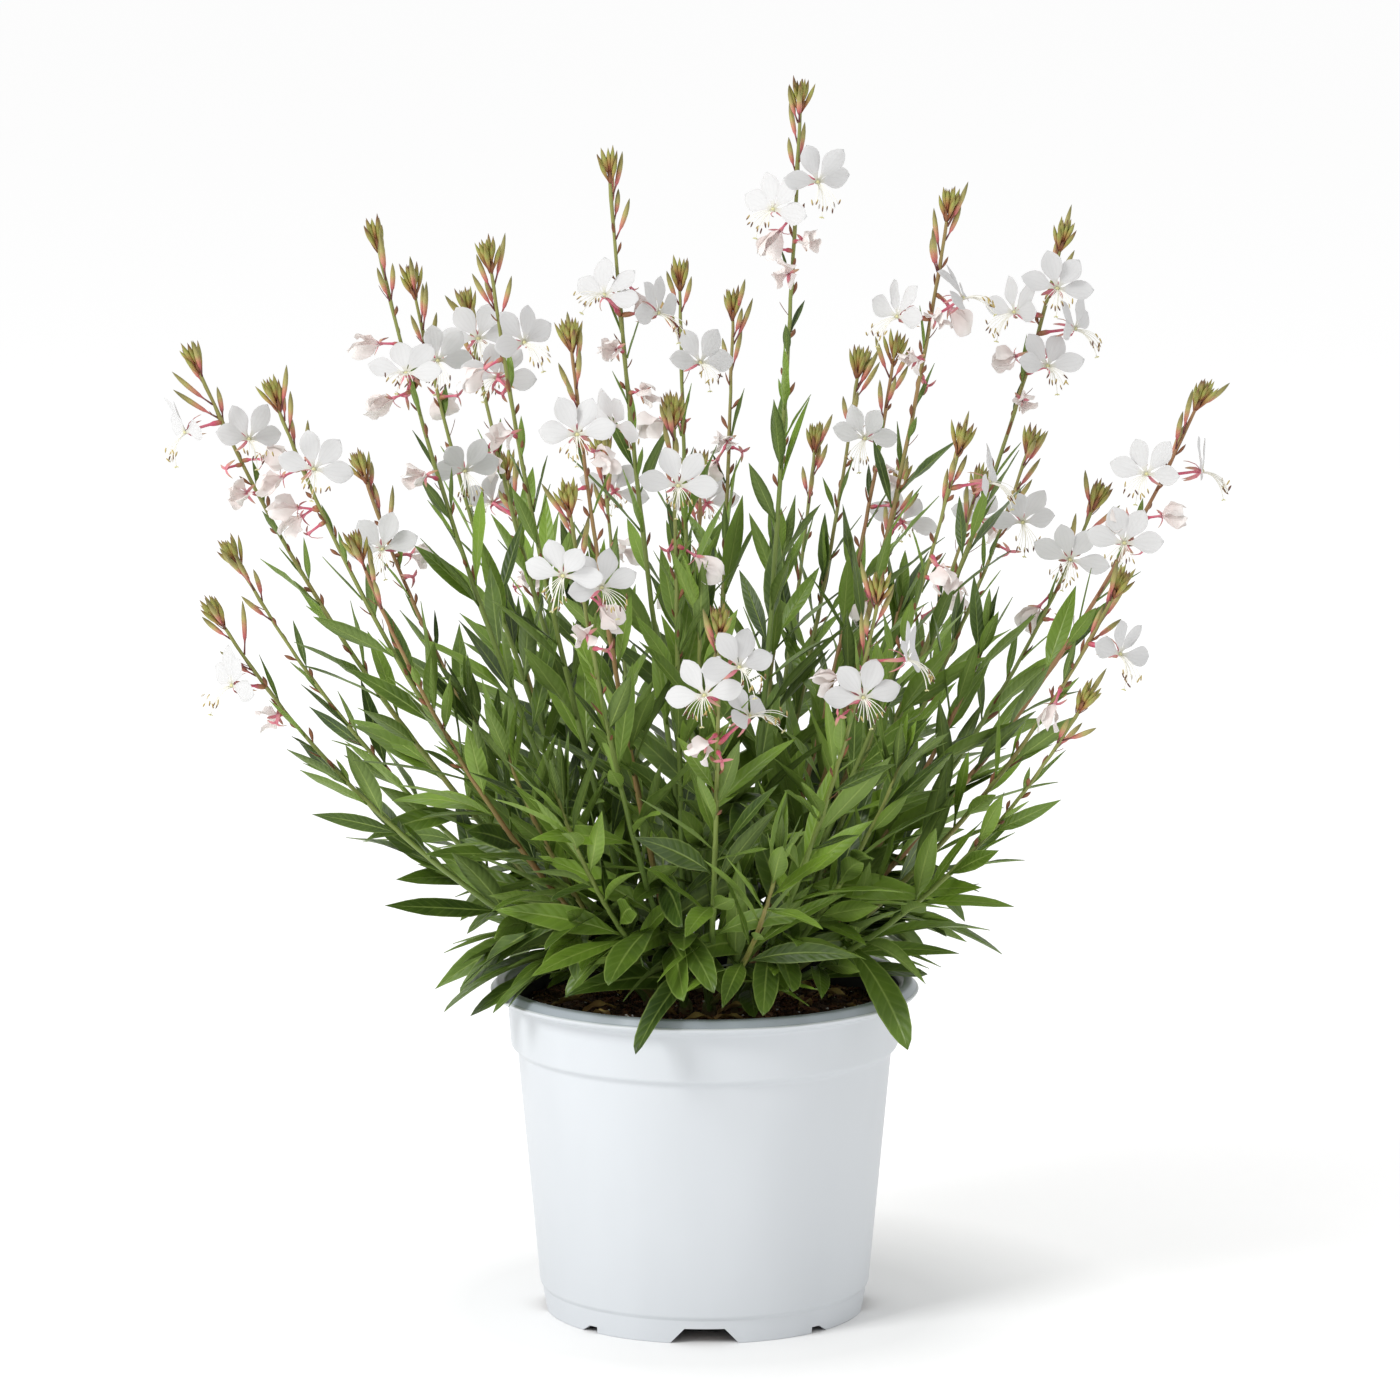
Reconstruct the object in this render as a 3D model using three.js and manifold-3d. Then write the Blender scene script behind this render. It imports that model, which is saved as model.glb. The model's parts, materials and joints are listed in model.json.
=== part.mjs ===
// A potted whirling butterflies gaura: a nursery pot, its soil, twelve branching sprays and their open flowers.
// Millimetres, +Z up, origin on the ground at the middle of the pot, the front towards -Y.
import * as THREE from "three";
import { mergeVertices } from "three/addons/utils/BufferGeometryUtils.js";
import Module from "manifold-3d";

// Pot
const POT_HEIGHT = 148;
const RIM_RADIUS = 95;
const FOOT_RADIUS = 71;
const STEP_HEIGHT = 10.5;
const COLLAR_BOTTOM = 117;
const COLLAR_TOP = 140.8;
const WALL = 1.5;
const FLOOR_UNDERSIDE = 5;
const FLOOR_TOP = 6.5;
const POT_SIDES = 32;
const DRAIN_WIDTH_LOW = 30;
const DRAIN_WIDTH_HIGH = 17.6;
const DRAIN_HEIGHT = 6.8;
const NICK_WIDTH = 9;
const NICK_HEIGHT = 3;

// Soil
const SOIL_GAP = 1.1;
const SOIL_BOTTOM = 7.1;
const SOIL_EDGE = 133;
const SOIL_MOUND = 4;
const SOIL_SIDES = 24;
const ROOT_HOLE_RADIUS = 4.6;
const ROOT_HOLE_DEPTH = 17;

// Crown and stems
const CROWN_RADIUS = 24;
const CROWN_HEIGHT = 139;
const PEG_DEPTH = 14;
const PEG_RADIUS = 3.5;
const STEM_SIDES = 4;
const WIDEST_STEP = 0.2;
const FINE_STEP = 0.07;
const RING_SPACING = 7;
const ROOT_LENGTH = 2.6;
const STEM_BASE_RADIUS = 1.8;
const STEM_TIP_RADIUS = 0.8;
const STEM_BOW = 0.13;

// Flowers and buds
const FLOWER_REACH = 17;
const FLOWER_GAP = 0.3;
const PETAL_LENGTH = 17.6;
const PETAL_HALF_WIDTH = 4.9;
const PETAL_THICKNESS = 0.9;
const HUB_RADIUS = 2;
const STAMEN_STEP = 17.5;
// Corners of the flower's hub, in degrees from its top: four claws above, eight stamens below.
const HUB_ANGLES = [-110, -55, 0, 55, ...[0, 1, 2, 3, 4, 5, 6, 7].map((i) => 110 + i * STAMEN_STEP)];

// Leaves
const LEAF_SLENDERNESS = 0.086;
const LEAF_THICKNESS = 0.9;
const GOLDEN_ANGLE = 137.5;
const CROWN_LEAVES = 3;
const SHOOT_LEAVES = 6;
const WAND_LEAVES = 4;
const CLEARANCE = 0.35;
const TRIES = 12;

const OPEN = "open";
const FADED = "faded";

// Each spray has its bearing on the crown, its flowering wands and its leafy shoots.
// A wand has the place of its tip and its flowers: drop below the tip, bearing, pitch, stage.
// A shoot has a bearing, a reach and a height.
const SPRAYS = [
  {
    bearing: 186,
    wands: [
      { tip: [-220, -10, 420], flowers: [[25, 200, -15, OPEN], [35, 300, 10, OPEN], [60, 245, 10, FADED]] },
      { tip: [-210, -35, 313], flowers: [[35, 215, 10, OPEN]] },
      { tip: [-141, -25, 475], flowers: [[65, 260, 35, OPEN], [60, 185, -15, FADED], [105, 235, 10, FADED]] },
    ],
    shoots: [[190, 105, 275]],
  },
  {
    bearing: 157,
    wands: [
      { tip: [-208, 48, 327], flowers: [] },
      { tip: [-154, 97, 360], flowers: [[35, 260, 10, OPEN]] },
      { tip: [-129, 54, 448], flowers: [[25, 290, -15, OPEN], [75, 290, -15, OPEN]] },
    ],
    shoots: [[150, 95, 290]],
  },
  {
    bearing: 212,
    wands: [
      { tip: [-183, -58, 410], flowers: [[30, 290, 10, OPEN], [25, 205, -15, FADED], [50, 185, 10, FADED]] },
      { tip: [-146, -92, 349], flowers: [] },
      { tip: [-91, -68, 470], flowers: [[35, 305, 10, OPEN], [55, 110, 10, OPEN], [75, 250, 10, FADED]] },
    ],
    shoots: [[218, 110, 265]],
  },
  {
    bearing: 250,
    wands: [
      { tip: [-56, -107, 440], flowers: [[40, 35, 10, OPEN], [45, 265, 10, OPEN]] },
      { tip: [-56, -145, 376], flowers: [[38, 300, 10, OPEN], [25, 250, -15, OPEN], [60, 265, 10, FADED]] },
      { tip: [-13, -87, 406], flowers: [[28, 275, 10, OPEN]] },
    ],
    shoots: [[238, 120, 250]],
  },
  {
    bearing: 275,
    wands: [
      { tip: [6, -184, 330], flowers: [[34, 250, 10, OPEN], [58, 310, 35, OPEN], [20, 300, 10, OPEN]] },
      { tip: [-41, -15, 504], flowers: [[60, 240, 35, OPEN], [58, 325, 10, OPEN], [76, 250, 10, FADED], [94, 305, 10, FADED]] },
    ],
    shoots: [[268, 75, 330], [284, 130, 225]],
  },
  {
    bearing: 308,
    wands: [
      { tip: [72, -154, 340], flowers: [[52, 280, 10, OPEN], [28, 340, 10, OPEN], [40, 200, 0, FADED]] },
      { tip: [108, -83, 394], flowers: [[18, 355, 10, OPEN]] },
      { tip: [41, -30, 535], flowers: [[46, 235, 10, OPEN], [28, 300, -15, OPEN], [58, 295, 10, FADED], [73, 260, 10, FADED]] },
    ],
    shoots: [[315, 120, 262]],
  },
  {
    bearing: 335,
    wands: [
      { tip: [175, -77, 331], flowers: [[25, 320, -15, OPEN]] },
      { tip: [159, -110, 287], flowers: [] },
      { tip: [105, -20, 488], flowers: [[46, 210, 10, OPEN], [46, 350, 35, OPEN], [50, 280, 10, FADED], [64, 250, 10, FADED]] },
    ],
    shoots: [[338, 85, 285]],
  },
  {
    bearing: 8,
    wands: [
      { tip: [215, 0, 403], flowers: [[34, 240, 10, OPEN], [34, 355, 10, OPEN], [55, 335, 10, FADED], [67, 260, 10, OPEN]] },
      { tip: [157, 34, 470], flowers: [[32, 220, 10, OPEN], [22, 280, 10, OPEN], [36, 325, 10, OPEN], [54, 290, 10, OPEN], [72, 280, 10, FADED]] },
      { tip: [174, 58, 351], flowers: [[25, 265, 10, OPEN]] },
    ],
    shoots: [[4, 125, 300]],
  },
  {
    bearing: 42,
    wands: [
      { tip: [147, 106, 371], flowers: [[28, 290, -15, OPEN]] },
      { tip: [85, 83, 415], flowers: [[31, 240, -15, OPEN]] },
      { tip: [126, 159, 346], flowers: [[20, 60, 10, OPEN]] },
    ],
    shoots: [[36, 110, 310]],
  },
  {
    bearing: 66,
    wands: [
      { tip: [70, 126, 404], flowers: [] },
      { tip: [91, 176, 345], flowers: [[20, 60, 10, OPEN]] },
      { tip: [51, 159, 366], flowers: [] },
    ],
    shoots: [[64, 80, 330]],
  },
  {
    bearing: 92,
    wands: [
      { tip: [13, 117, 432], flowers: [[58, 265, 10, FADED]] },
      { tip: [-2, 187, 350], flowers: [[20, 80, 10, OPEN]] },
      { tip: [-11, 73, 449], flowers: [[37, 300, 10, OPEN]] },
    ],
    shoots: [[96, 95, 320]],
  },
  {
    bearing: 122,
    wands: [
      { tip: [-107, 107, 432], flowers: [[12, 280, 10, OPEN]] },
      { tip: [-92, 169, 352], flowers: [[20, 130, 10, OPEN]] },
      { tip: [-47, 180, 358], flowers: [[20, 80, 10, OPEN]] },
    ],
    shoots: [[128, 90, 310]],
  },
];

const wasm = await Module();
wasm.setup();

// Numbers and directions
const UP = new THREE.Vector3(0, 0, 1);
const rad = THREE.MathUtils.degToRad;
const mix = THREE.MathUtils.lerp;
const at = (x, y, z) => new THREE.Vector3(x, y, z);

// A seeded draw between low and high: the same key always gives the same value.
function draw(key, low = 0, high = 1) {
  const value = Math.sin(key * 12.9898 + 4.1414) * 43758.5453;
  return low + (high - low) * (value - Math.floor(value));
}

function heading(bearing, pitch) {
  const level = Math.cos(rad(pitch));
  return at(Math.cos(rad(bearing)) * level, Math.sin(rad(bearing)) * level, Math.sin(rad(pitch)));
}

function along(point, direction, distance) {
  return point.clone().addScaledVector(direction, distance);
}

// The unit vector square to a tangent that lies nearest to a bearing.
function outwards(tangent, bearing) {
  const level = heading(bearing, 0);
  return level.addScaledVector(tangent, -level.dot(tangent)).normalize();
}

// The direction square to a tangent that lies an angle round from a first one.
function around(tangent, first, angle) {
  const second = tangent.clone().cross(first);
  return first.clone().multiplyScalar(Math.cos(rad(angle))).addScaledVector(second, Math.sin(rad(angle)));
}

// A closed skin of triangles with shared corners
class Skin {
  constructor() {
    this.points = [];
    this.faces = [];
  }

  point(position) {
    this.points.push(position);
    return this.points.length - 1;
  }

  // A regular ring round a centre, counted anticlockwise as seen from the tangent's end.
  ring(centre, tangent, first, radius, sides) {
    const corners = [];
    for (let i = 0; i < sides; i += 1) {
      corners.push(this.point(along(centre, around(tangent, first, (360 * i) / sides), radius)));
    }
    return corners;
  }

  face(a, b, c) {
    this.faces.push([a, b, c]);
  }

  // A face drawn out into a point.
  spike(a, b, c, tip) {
    const end = this.point(tip);
    this.face(a, b, end);
    this.face(b, c, end);
    this.face(c, a, end);
  }

  // Two faces between a low edge and a high one, folded along the diagonal that bulges outwards.
  quad(low, lowNext, highNext, high) {
    const [corner, across, up] = [lowNext, highNext, high].map((i) => this.points[i].clone().sub(this.points[low]));
    if (corner.cross(across).dot(up) <= 0) {
      this.face(low, lowNext, highNext);
      this.face(low, highNext, high);
    } else {
      this.face(low, lowNext, high);
      this.face(lowNext, highNext, high);
    }
  }

  band(low, high) {
    low.forEach((corner, i) => {
      const next = (i + 1) % low.length;
      this.quad(corner, low[next], high[next], high[i]);
    });
  }

  startCap(ring) {
    for (let i = 1; i + 1 < ring.length; i += 1) this.face(ring[0], ring[i + 1], ring[i]);
  }

  endCap(ring) {
    for (let i = 1; i + 1 < ring.length; i += 1) this.face(ring[0], ring[i], ring[i + 1]);
  }

  apex(ring, tip) {
    const end = this.point(tip);
    ring.forEach((corner, i) => this.face(corner, ring[(i + 1) % ring.length], end));
  }

  solid() {
    const vertProperties = new Float32Array(this.points.flatMap((p) => [p.x, p.y, p.z]));
    const triVerts = new Uint32Array(this.faces.flat());
    return new wasm.Manifold(new wasm.Mesh({ numProp: 3, vertProperties, triVerts }));
  }
}

// Everything that stands in the plant's space, for keeping new pieces clear of it
class Space {
  constructor() {
    this.pieces = [];
  }

  static box(solid) {
    const mesh = solid.getMesh();
    const box = new THREE.Box3();
    for (let i = 0; i < mesh.vertProperties.length; i += mesh.numProp) {
      box.expandByPoint(at(...mesh.vertProperties.subarray(i, i + 3)));
    }
    return box;
  }

  add(owner, root, solid) {
    this.pieces.push({ owner, root, solid, box: Space.box(solid) });
  }

  // Whether a solid is clear of all but the pieces that skip accepts.
  clear(solid, skip) {
    const box = Space.box(solid);
    return this.pieces.every((piece) => {
      if (skip(piece) || !piece.box.intersectsBox(box)) return true;
      const common = solid.intersect(piece.solid);
      const volume = common.volume();
      common.delete();
      return volume < 1e-9;
    });
  }
}

// Geometry in and out of the solids
function solidOf(geometry) {
  geometry.deleteAttribute("normal");
  geometry.deleteAttribute("uv");
  const merged = mergeVertices(geometry, 1e-4);
  return new wasm.Manifold(
    new wasm.Mesh({
      numProp: 3,
      vertProperties: new Float32Array(merged.attributes.position.array),
      triVerts: new Uint32Array(merged.index.array),
    }),
  );
}

function geometryOf(solid) {
  const mesh = solid.getMesh();
  const geometry = new THREE.BufferGeometry();
  geometry.setAttribute("position", new THREE.BufferAttribute(mesh.vertProperties, mesh.numProp));
  geometry.setIndex(new THREE.BufferAttribute(mesh.triVerts, 1));
  const flat = geometry.toNonIndexed();
  flat.computeVertexNormals();
  return flat;
}

// The pot
function potProfile() {
  return [
    [0, FLOOR_UNDERSIDE],
    [FOOT_RADIUS - 1.8, FLOOR_UNDERSIDE],
    [FOOT_RADIUS - 1.8, 0],
    [FOOT_RADIUS, 0],
    [FOOT_RADIUS + 1, STEP_HEIGHT],
    [FOOT_RADIUS + 2.2, STEP_HEIGHT + 1.5],
    [RIM_RADIUS - 12.1, COLLAR_BOTTOM],
    [RIM_RADIUS - 9.2, COLLAR_BOTTOM + 2.5],
    [RIM_RADIUS - 7.8, COLLAR_TOP],
    [RIM_RADIUS, COLLAR_TOP + 3],
    [RIM_RADIUS, POT_HEIGHT - 1],
    [RIM_RADIUS - 1.4, POT_HEIGHT],
    [RIM_RADIUS - 6.7, POT_HEIGHT],
    [RIM_RADIUS - 8.8, POT_HEIGHT - 2.2],
    [RIM_RADIUS - 9.2 - WALL + 0.3, COLLAR_BOTTOM + 4.5],
    [RIM_RADIUS - 12.1 - WALL, COLLAR_BOTTOM - 0.3],
    [FOOT_RADIUS - 0.6, FLOOR_TOP],
    [0, FLOOR_TOP],
  ];
}

// A prism that runs out through the foot: its outline is [across, height] and its bearing is in degrees.
function footCutter(outline, bearing) {
  const shape = new THREE.Shape(outline.map(([across, height]) => new THREE.Vector2(across, height)));
  const prism = new THREE.ExtrudeGeometry(shape, { depth: 20, bevelEnabled: false, steps: 1 });
  prism.rotateX(Math.PI / 2);
  prism.rotateZ(Math.PI);
  prism.translate(0, FOOT_RADIUS - 13, 0);
  prism.rotateZ(rad(bearing - 90));
  return solidOf(prism);
}

function drainOutline() {
  return [
    [-DRAIN_WIDTH_LOW / 2 - 1, -1],
    [DRAIN_WIDTH_LOW / 2 + 1, -1],
    [DRAIN_WIDTH_HIGH / 2, DRAIN_HEIGHT],
    [-DRAIN_WIDTH_HIGH / 2, DRAIN_HEIGHT],
  ];
}

function nickOutline(side) {
  const corners = [
    [-NICK_WIDTH / 2, -1],
    [NICK_WIDTH / 2 + 2, -1],
    [0, NICK_HEIGHT],
    [-NICK_WIDTH / 2, NICK_HEIGHT],
  ];
  return corners.map(([across, height]) => [across * side, height]);
}

function potSolid() {
  const profile = potProfile().map(([radius, height]) => new THREE.Vector2(radius, height));
  const lathe = new THREE.LatheGeometry(profile, POT_SIDES);
  lathe.rotateX(Math.PI / 2);
  let pot = solidOf(lathe);
  for (let quarter = 0; quarter < 4; quarter += 1) {
    const bearing = 270 + quarter * 90;
    pot = pot.subtract(footCutter(drainOutline(), bearing));
    pot = pot.subtract(footCutter(nickOutline(quarter % 2 ? 1 : -1), bearing + 45));
  }
  return pot;
}

// The soil
function soilHeight(radius, bearing) {
  const mound = SOIL_MOUND * Math.cos((Math.min(radius, 84) / 84) * (Math.PI / 2));
  const bumps = Math.sin(radius * 0.31 + bearing * 3) + Math.sin(radius * 0.17 - bearing * 5);
  return SOIL_EDGE + mound + 0.7 * bumps;
}

function soilRadiusAt(height) {
  const low = FOOT_RADIUS - 0.6;
  const shoulder = RIM_RADIUS - 12.1 - WALL;
  const share = (height - FLOOR_TOP) / (COLLAR_BOTTOM - FLOOR_TOP);
  return mix(low, shoulder, Math.min(share, 1)) - SOIL_GAP;
}

function soilSolid() {
  const skin = new Skin();
  const ringAt = (radius, height) => {
    const corners = [];
    for (let i = 0; i < SOIL_SIDES; i += 1) {
      const bearing = (2 * Math.PI * i) / SOIL_SIDES;
      const level = height ?? soilHeight(radius, bearing);
      corners.push(skin.point(at(radius * Math.cos(bearing), radius * Math.sin(bearing), level)));
    }
    return corners;
  };
  const collar = RIM_RADIUS - 9.2 - WALL - SOIL_GAP + 0.2;
  const rings = [
    ringAt(soilRadiusAt(SOIL_BOTTOM), SOIL_BOTTOM),
    ringAt(soilRadiusAt(COLLAR_BOTTOM - 0.3), COLLAR_BOTTOM - 0.3),
    ringAt(collar, COLLAR_BOTTOM + 4.5),
    ringAt(collar + 0.8),
    ringAt(60),
    ringAt(36),
    ringAt(14),
  ];
  skin.startCap(rings[0]);
  for (let i = 1; i < rings.length; i += 1) skin.band(rings[i - 1], rings[i]);
  skin.apex(rings[rings.length - 1], at(0, 0, soilHeight(0, 0)));
  return SPRAYS.reduce((soil, spray) => soil.subtract(rootHole(spray.bearing)), skin.solid());
}

function crownPoint(bearing) {
  return at(0, 0, CROWN_HEIGHT).add(heading(bearing, 0).multiplyScalar(CROWN_RADIUS));
}

function rootHole(bearing) {
  const skin = new Skin();
  const mouth = crownPoint(bearing);
  const floor = along(mouth, UP, -ROOT_HOLE_DEPTH);
  const first = heading(bearing, 0);
  const low = skin.ring(floor, UP, first, ROOT_HOLE_RADIUS, 5);
  const high = skin.ring(along(mouth, UP, 10), UP, first, ROOT_HOLE_RADIUS, 5);
  skin.startCap(low);
  skin.band(low, high);
  skin.endCap(high);
  return skin.solid();
}

// The peg of root and crown that stands in its hole
function pegSolid(bearing) {
  const skin = new Skin();
  const crown = crownPoint(bearing);
  const first = heading(bearing, 0);
  const foot = skin.ring(along(crown, UP, -PEG_DEPTH), UP, first, PEG_RADIUS * 0.7, 5);
  const neck = skin.ring(along(crown, UP, 1), UP, first, PEG_RADIUS, 5);
  skin.startCap(foot);
  skin.band(foot, neck);
  skin.apex(neck, along(crown, UP, 5));
  return skin.solid();
}

// Stems: four-sided skins whose rings stand where leaves, buds and flowers grow out of the sides
class Stem {
  constructor(root, tip, bearing, key, flowering) {
    const chord = tip.clone().sub(root);
    const level = Math.hypot(chord.x, chord.y);
    const out = at(chord.x / level, chord.y / level, 0);
    const bow = out.multiplyScalar((STEM_BOW * level * chord.z) / chord.length());
    bow.z = (-STEM_BOW * level * level) / chord.length();
    const third = root.clone().addScaledVector(chord, 1 / 3).add(bow);
    const twoThirds = root.clone().addScaledVector(chord, 2 / 3).add(bow);
    this.curve = new THREE.CubicBezierCurve3(root, third, twoThirds, tip);
    this.length = this.curve.getLength();
    this.bearing = bearing;
    this.key = key;
    this.flowering = flowering;
    this.organs = [];
  }

  point(share) {
    return this.curve.getPoint(share);
  }

  tangent(share) {
    return this.curve.getTangent(share);
  }

  radius(share) {
    return mix(STEM_BASE_RADIUS, STEM_TIP_RADIUS, share);
  }

  // The share of the curve that lies a distance below its tip.
  shareBelowTip(drop) {
    return this.curve.getUtoTmapping(1 - drop / this.length);
  }

  // The nearest ring already in use within a few millimetres, or the share itself.
  ringShare(share) {
    const near = this.organs.find((organ) => Math.abs(organ.share - share) * this.length < RING_SPACING);
    return near ? near.share : share;
  }

  // The free side of the stem that looks most nearly along a bearing, or -1.
  freeSide(share, bearing) {
    const tangent = this.tangent(share);
    const away = outwards(tangent, bearing);
    let best = -1;
    let most = 0.35;
    for (let side = 0; side < STEM_SIDES; side += 1) {
      if (this.organs.some((organ) => organ.share === share && organ.side === side)) continue;
      const facing = this.sideHeading(share, side).dot(away);
      if (facing > most) [best, most] = [side, facing];
    }
    return best;
  }

  sideHeading(share, side) {
    const tangent = this.tangent(share);
    const angle = (side + 0.5) * (360 / STEM_SIDES);
    return around(tangent, outwards(tangent, this.bearing), angle);
  }

  corner(share, side, fat = 0) {
    const tangent = this.tangent(share);
    const out = around(tangent, outwards(tangent, this.bearing), side * (360 / STEM_SIDES));
    return along(this.point(share), out, this.radius(share) + fat);
  }

  // The point below a side's upper edge, where the keel of its organ starts.
  heel(share, side) {
    const below = share - ROOT_LENGTH / this.length;
    const reach = this.radius(below) * Math.cos(Math.PI / STEM_SIDES);
    return along(this.point(below), this.sideHeading(below, side), reach);
  }

  ringShares(widest) {
    const shares = [...new Set([0, 1, ...this.organs.map((organ) => organ.share)])].sort((a, b) => a - b);
    const filled = [0];
    for (const share of shares.slice(1)) {
      const last = filled[filled.length - 1];
      const cuts = Math.ceil((share - last) / widest);
      for (let i = 1; i <= cuts; i += 1) filled.push(i === cuts ? share : mix(last, share, i / cuts));
    }
    return filled;
  }

  // The whole stem with all that grows on it, as one skin.
  solid(fat = 0, widest = WIDEST_STEP) {
    const skin = new Skin();
    let low;
    for (const share of this.ringShares(widest)) {
      const high = [];
      for (let side = 0; side < STEM_SIDES; side += 1) high.push(skin.point(this.corner(share, side, fat)));
      if (low) this.growBand(skin, low, high, share);
      else skin.startCap(high);
      low = high;
    }
    if (this.flowering) this.growHead(skin, low, fat);
    else skin.apex(low, along(this.point(1), this.tangent(1), 4));
    return skin.solid();
  }

  growBand(skin, low, high, share) {
    low.forEach((corner, side) => {
      const next = (side + 1) % STEM_SIDES;
      const organ = this.organs.find((other) => other.share === share && other.side === side);
      if (!organ) {
        skin.quad(corner, low[next], high[next], high[side]);
        return;
      }
      const heel = skin.point(this.heel(share, side));
      skin.face(corner, low[next], heel);
      skin.face(low[next], high[next], heel);
      skin.face(high[side], corner, heel);
      organ.grow(skin, [high[next], high[side], heel], organ, this, 0);
    });
  }

  // A head of pointed buds: one in the middle and one from each face round it.
  growHead(skin, neck, fat) {
    const end = this.point(1);
    const tangent = this.tangent(1);
    const first = outwards(tangent, this.bearing);
    const flare = skin.ring(along(end, tangent, 3), tangent, first, 2 + fat, STEM_SIDES);
    const heart = skin.point(along(end, tangent, 9));
    for (let i = 0; i < STEM_SIDES; i += 1) {
      const next = (i + 1) % STEM_SIDES;
      const spread = around(tangent, first, (i + 0.5) * (360 / STEM_SIDES));
      const key = this.key + i * 3.1;
      skin.face(neck[i], flare[next], flare[i]);
      const low = along(end, tangent, draw(key, 8, 12)).addScaledVector(spread, draw(key + 0.5, 4.6, 6.6) + fat);
      skin.spike(neck[i], neck[next], flare[next], low);
      const high = along(end, tangent, draw(key + 0.7, 11, 14)).addScaledVector(spread, draw(key + 0.9, 2.6, 4.2) + fat);
      skin.spike(flare[i], flare[next], heart, high);
    }
  }
}

// What grows on a stem: each continues the skin from three corners on the stem's side
function organSolid(organ, stem, fat) {
  const skin = new Skin();
  const next = (organ.side + 1) % STEM_SIDES;
  const root = [
    skin.point(stem.corner(organ.share, next)),
    skin.point(stem.corner(organ.share, organ.side)),
    skin.point(stem.heel(organ.share, organ.side)),
  ];
  skin.startCap(root);
  organ.grow(skin, root, organ, stem, fat);
  return skin.solid();
}

function rootMiddle(organ, stem) {
  const next = (organ.side + 1) % STEM_SIDES;
  return stem.corner(organ.share, organ.side).lerp(stem.corner(organ.share, next), 0.5);
}

function leanHeading(organ, stem) {
  const tangent = stem.tangent(organ.share);
  const away = outwards(tangent, organ.bearing);
  const lean = rad(organ.lean);
  return tangent.multiplyScalar(Math.cos(lean)).addScaledVector(away, Math.sin(lean));
}

// The direction to the right of an organ, square to its own course.
function rightOf(organ, stem, course) {
  const tangent = stem.tangent(organ.share);
  const right = tangent.clone().cross(outwards(tangent, organ.bearing));
  return right.addScaledVector(course, -right.dot(course)).normalize();
}

// A three-cornered ring that matches the corners at an organ's root.
function slimRing(skin, centre, course, right, radius) {
  const top = course.clone().cross(right);
  return [30, 150, 270].map((angle) => {
    const out = right.clone().multiplyScalar(Math.cos(rad(angle))).addScaledVector(top, Math.sin(rad(angle)));
    return skin.point(along(centre, out, radius));
  });
}

// A leaf: a blade with lifted edges and a keel, along a curve that droops
function leafCurve(leaf, stem) {
  const start = rootMiddle(leaf, stem);
  const first = leanHeading(leaf, stem);
  const second = first.clone().addScaledVector(UP, -leaf.droop).normalize();
  const middle = along(start, first, leaf.length * 0.48);
  return new THREE.QuadraticBezierCurve3(start, middle, along(middle, second, leaf.length * 0.52));
}

function growLeaf(skin, root, leaf, stem, fat) {
  const curve = leafCurve(leaf, stem);
  const widths = leaf.broad ? [[0.2, 0.55], [0.48, 1], [0.76, 0.78]] : [[0.34, 1], [0.7, 0.8]];
  let last = root;
  for (const [share, width] of widths) {
    const course = curve.getTangent(share);
    const level = UP.clone().cross(course).normalize();
    const right = rightOf(leaf, stem, course).lerp(level, 0.6).normalize();
    right.applyAxisAngle(course, rad(leaf.twist) * share);
    const top = course.clone().cross(right);
    const centre = along(curve.getPoint(share), top, fat * (leaf.raise ?? 0));
    const reach = leaf.halfWidth * width + fat;
    const lift = reach * 0.16;
    const ring = [
      skin.point(along(along(centre, right, reach), top, lift)),
      skin.point(along(along(centre, right, -reach), top, lift)),
      skin.point(along(centre, top, reach * 0.16 - LEAF_THICKNESS - fat)),
    ];
    skin.band(last, ring);
    last = ring;
  }
  skin.apex(last, along(curve.getPoint(1), curve.getTangent(1), fat));
}

// A single pointed bud that stands close along its stem
function growBud(skin, root, bud, stem, fat) {
  const course = leanHeading(bud, stem);
  const right = rightOf(bud, stem, course);
  const start = rootMiddle(bud, stem);
  const swell = slimRing(skin, along(start, course, bud.length * 0.62), course, right, 1.25 + fat);
  skin.band(root, swell);
  skin.apex(swell, along(start, course, bud.length + fat));
}

function flowerCentre(flower, stem) {
  return along(stem.point(flower.share), heading(flower.bearing, flower.pitch), flower.reach);
}

// The tube and turned-back sepals that carry an open flower, ending just short of it
function growTube(skin, root, flower, stem, fat) {
  const course = heading(flower.bearing, flower.pitch);
  const right = rightOf(flower, stem, course);
  const top = course.clone().cross(right);
  const end = along(flowerCentre(flower, stem), course, -PETAL_THICKNESS / 2 - FLOWER_GAP);
  const tube = slimRing(skin, along(end, course, -2.5), course, right, 0.75 + fat);
  const mouth = slimRing(skin, end, course, right, 1.3 + fat);
  skin.band(root, tube);
  for (let i = 0; i < 3; i += 1) {
    const next = (i + 1) % 3;
    const angle = rad(90 + 120 * i);
    const out = right.clone().multiplyScalar(Math.cos(angle)).addScaledVector(top, Math.sin(angle));
    skin.spike(tube[i], tube[next], mouth[next], along(along(end, course, -8), out, 5.5 + fat));
    skin.face(tube[i], mouth[next], mouth[i]);
  }
  skin.endCap(mouth);
}

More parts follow.
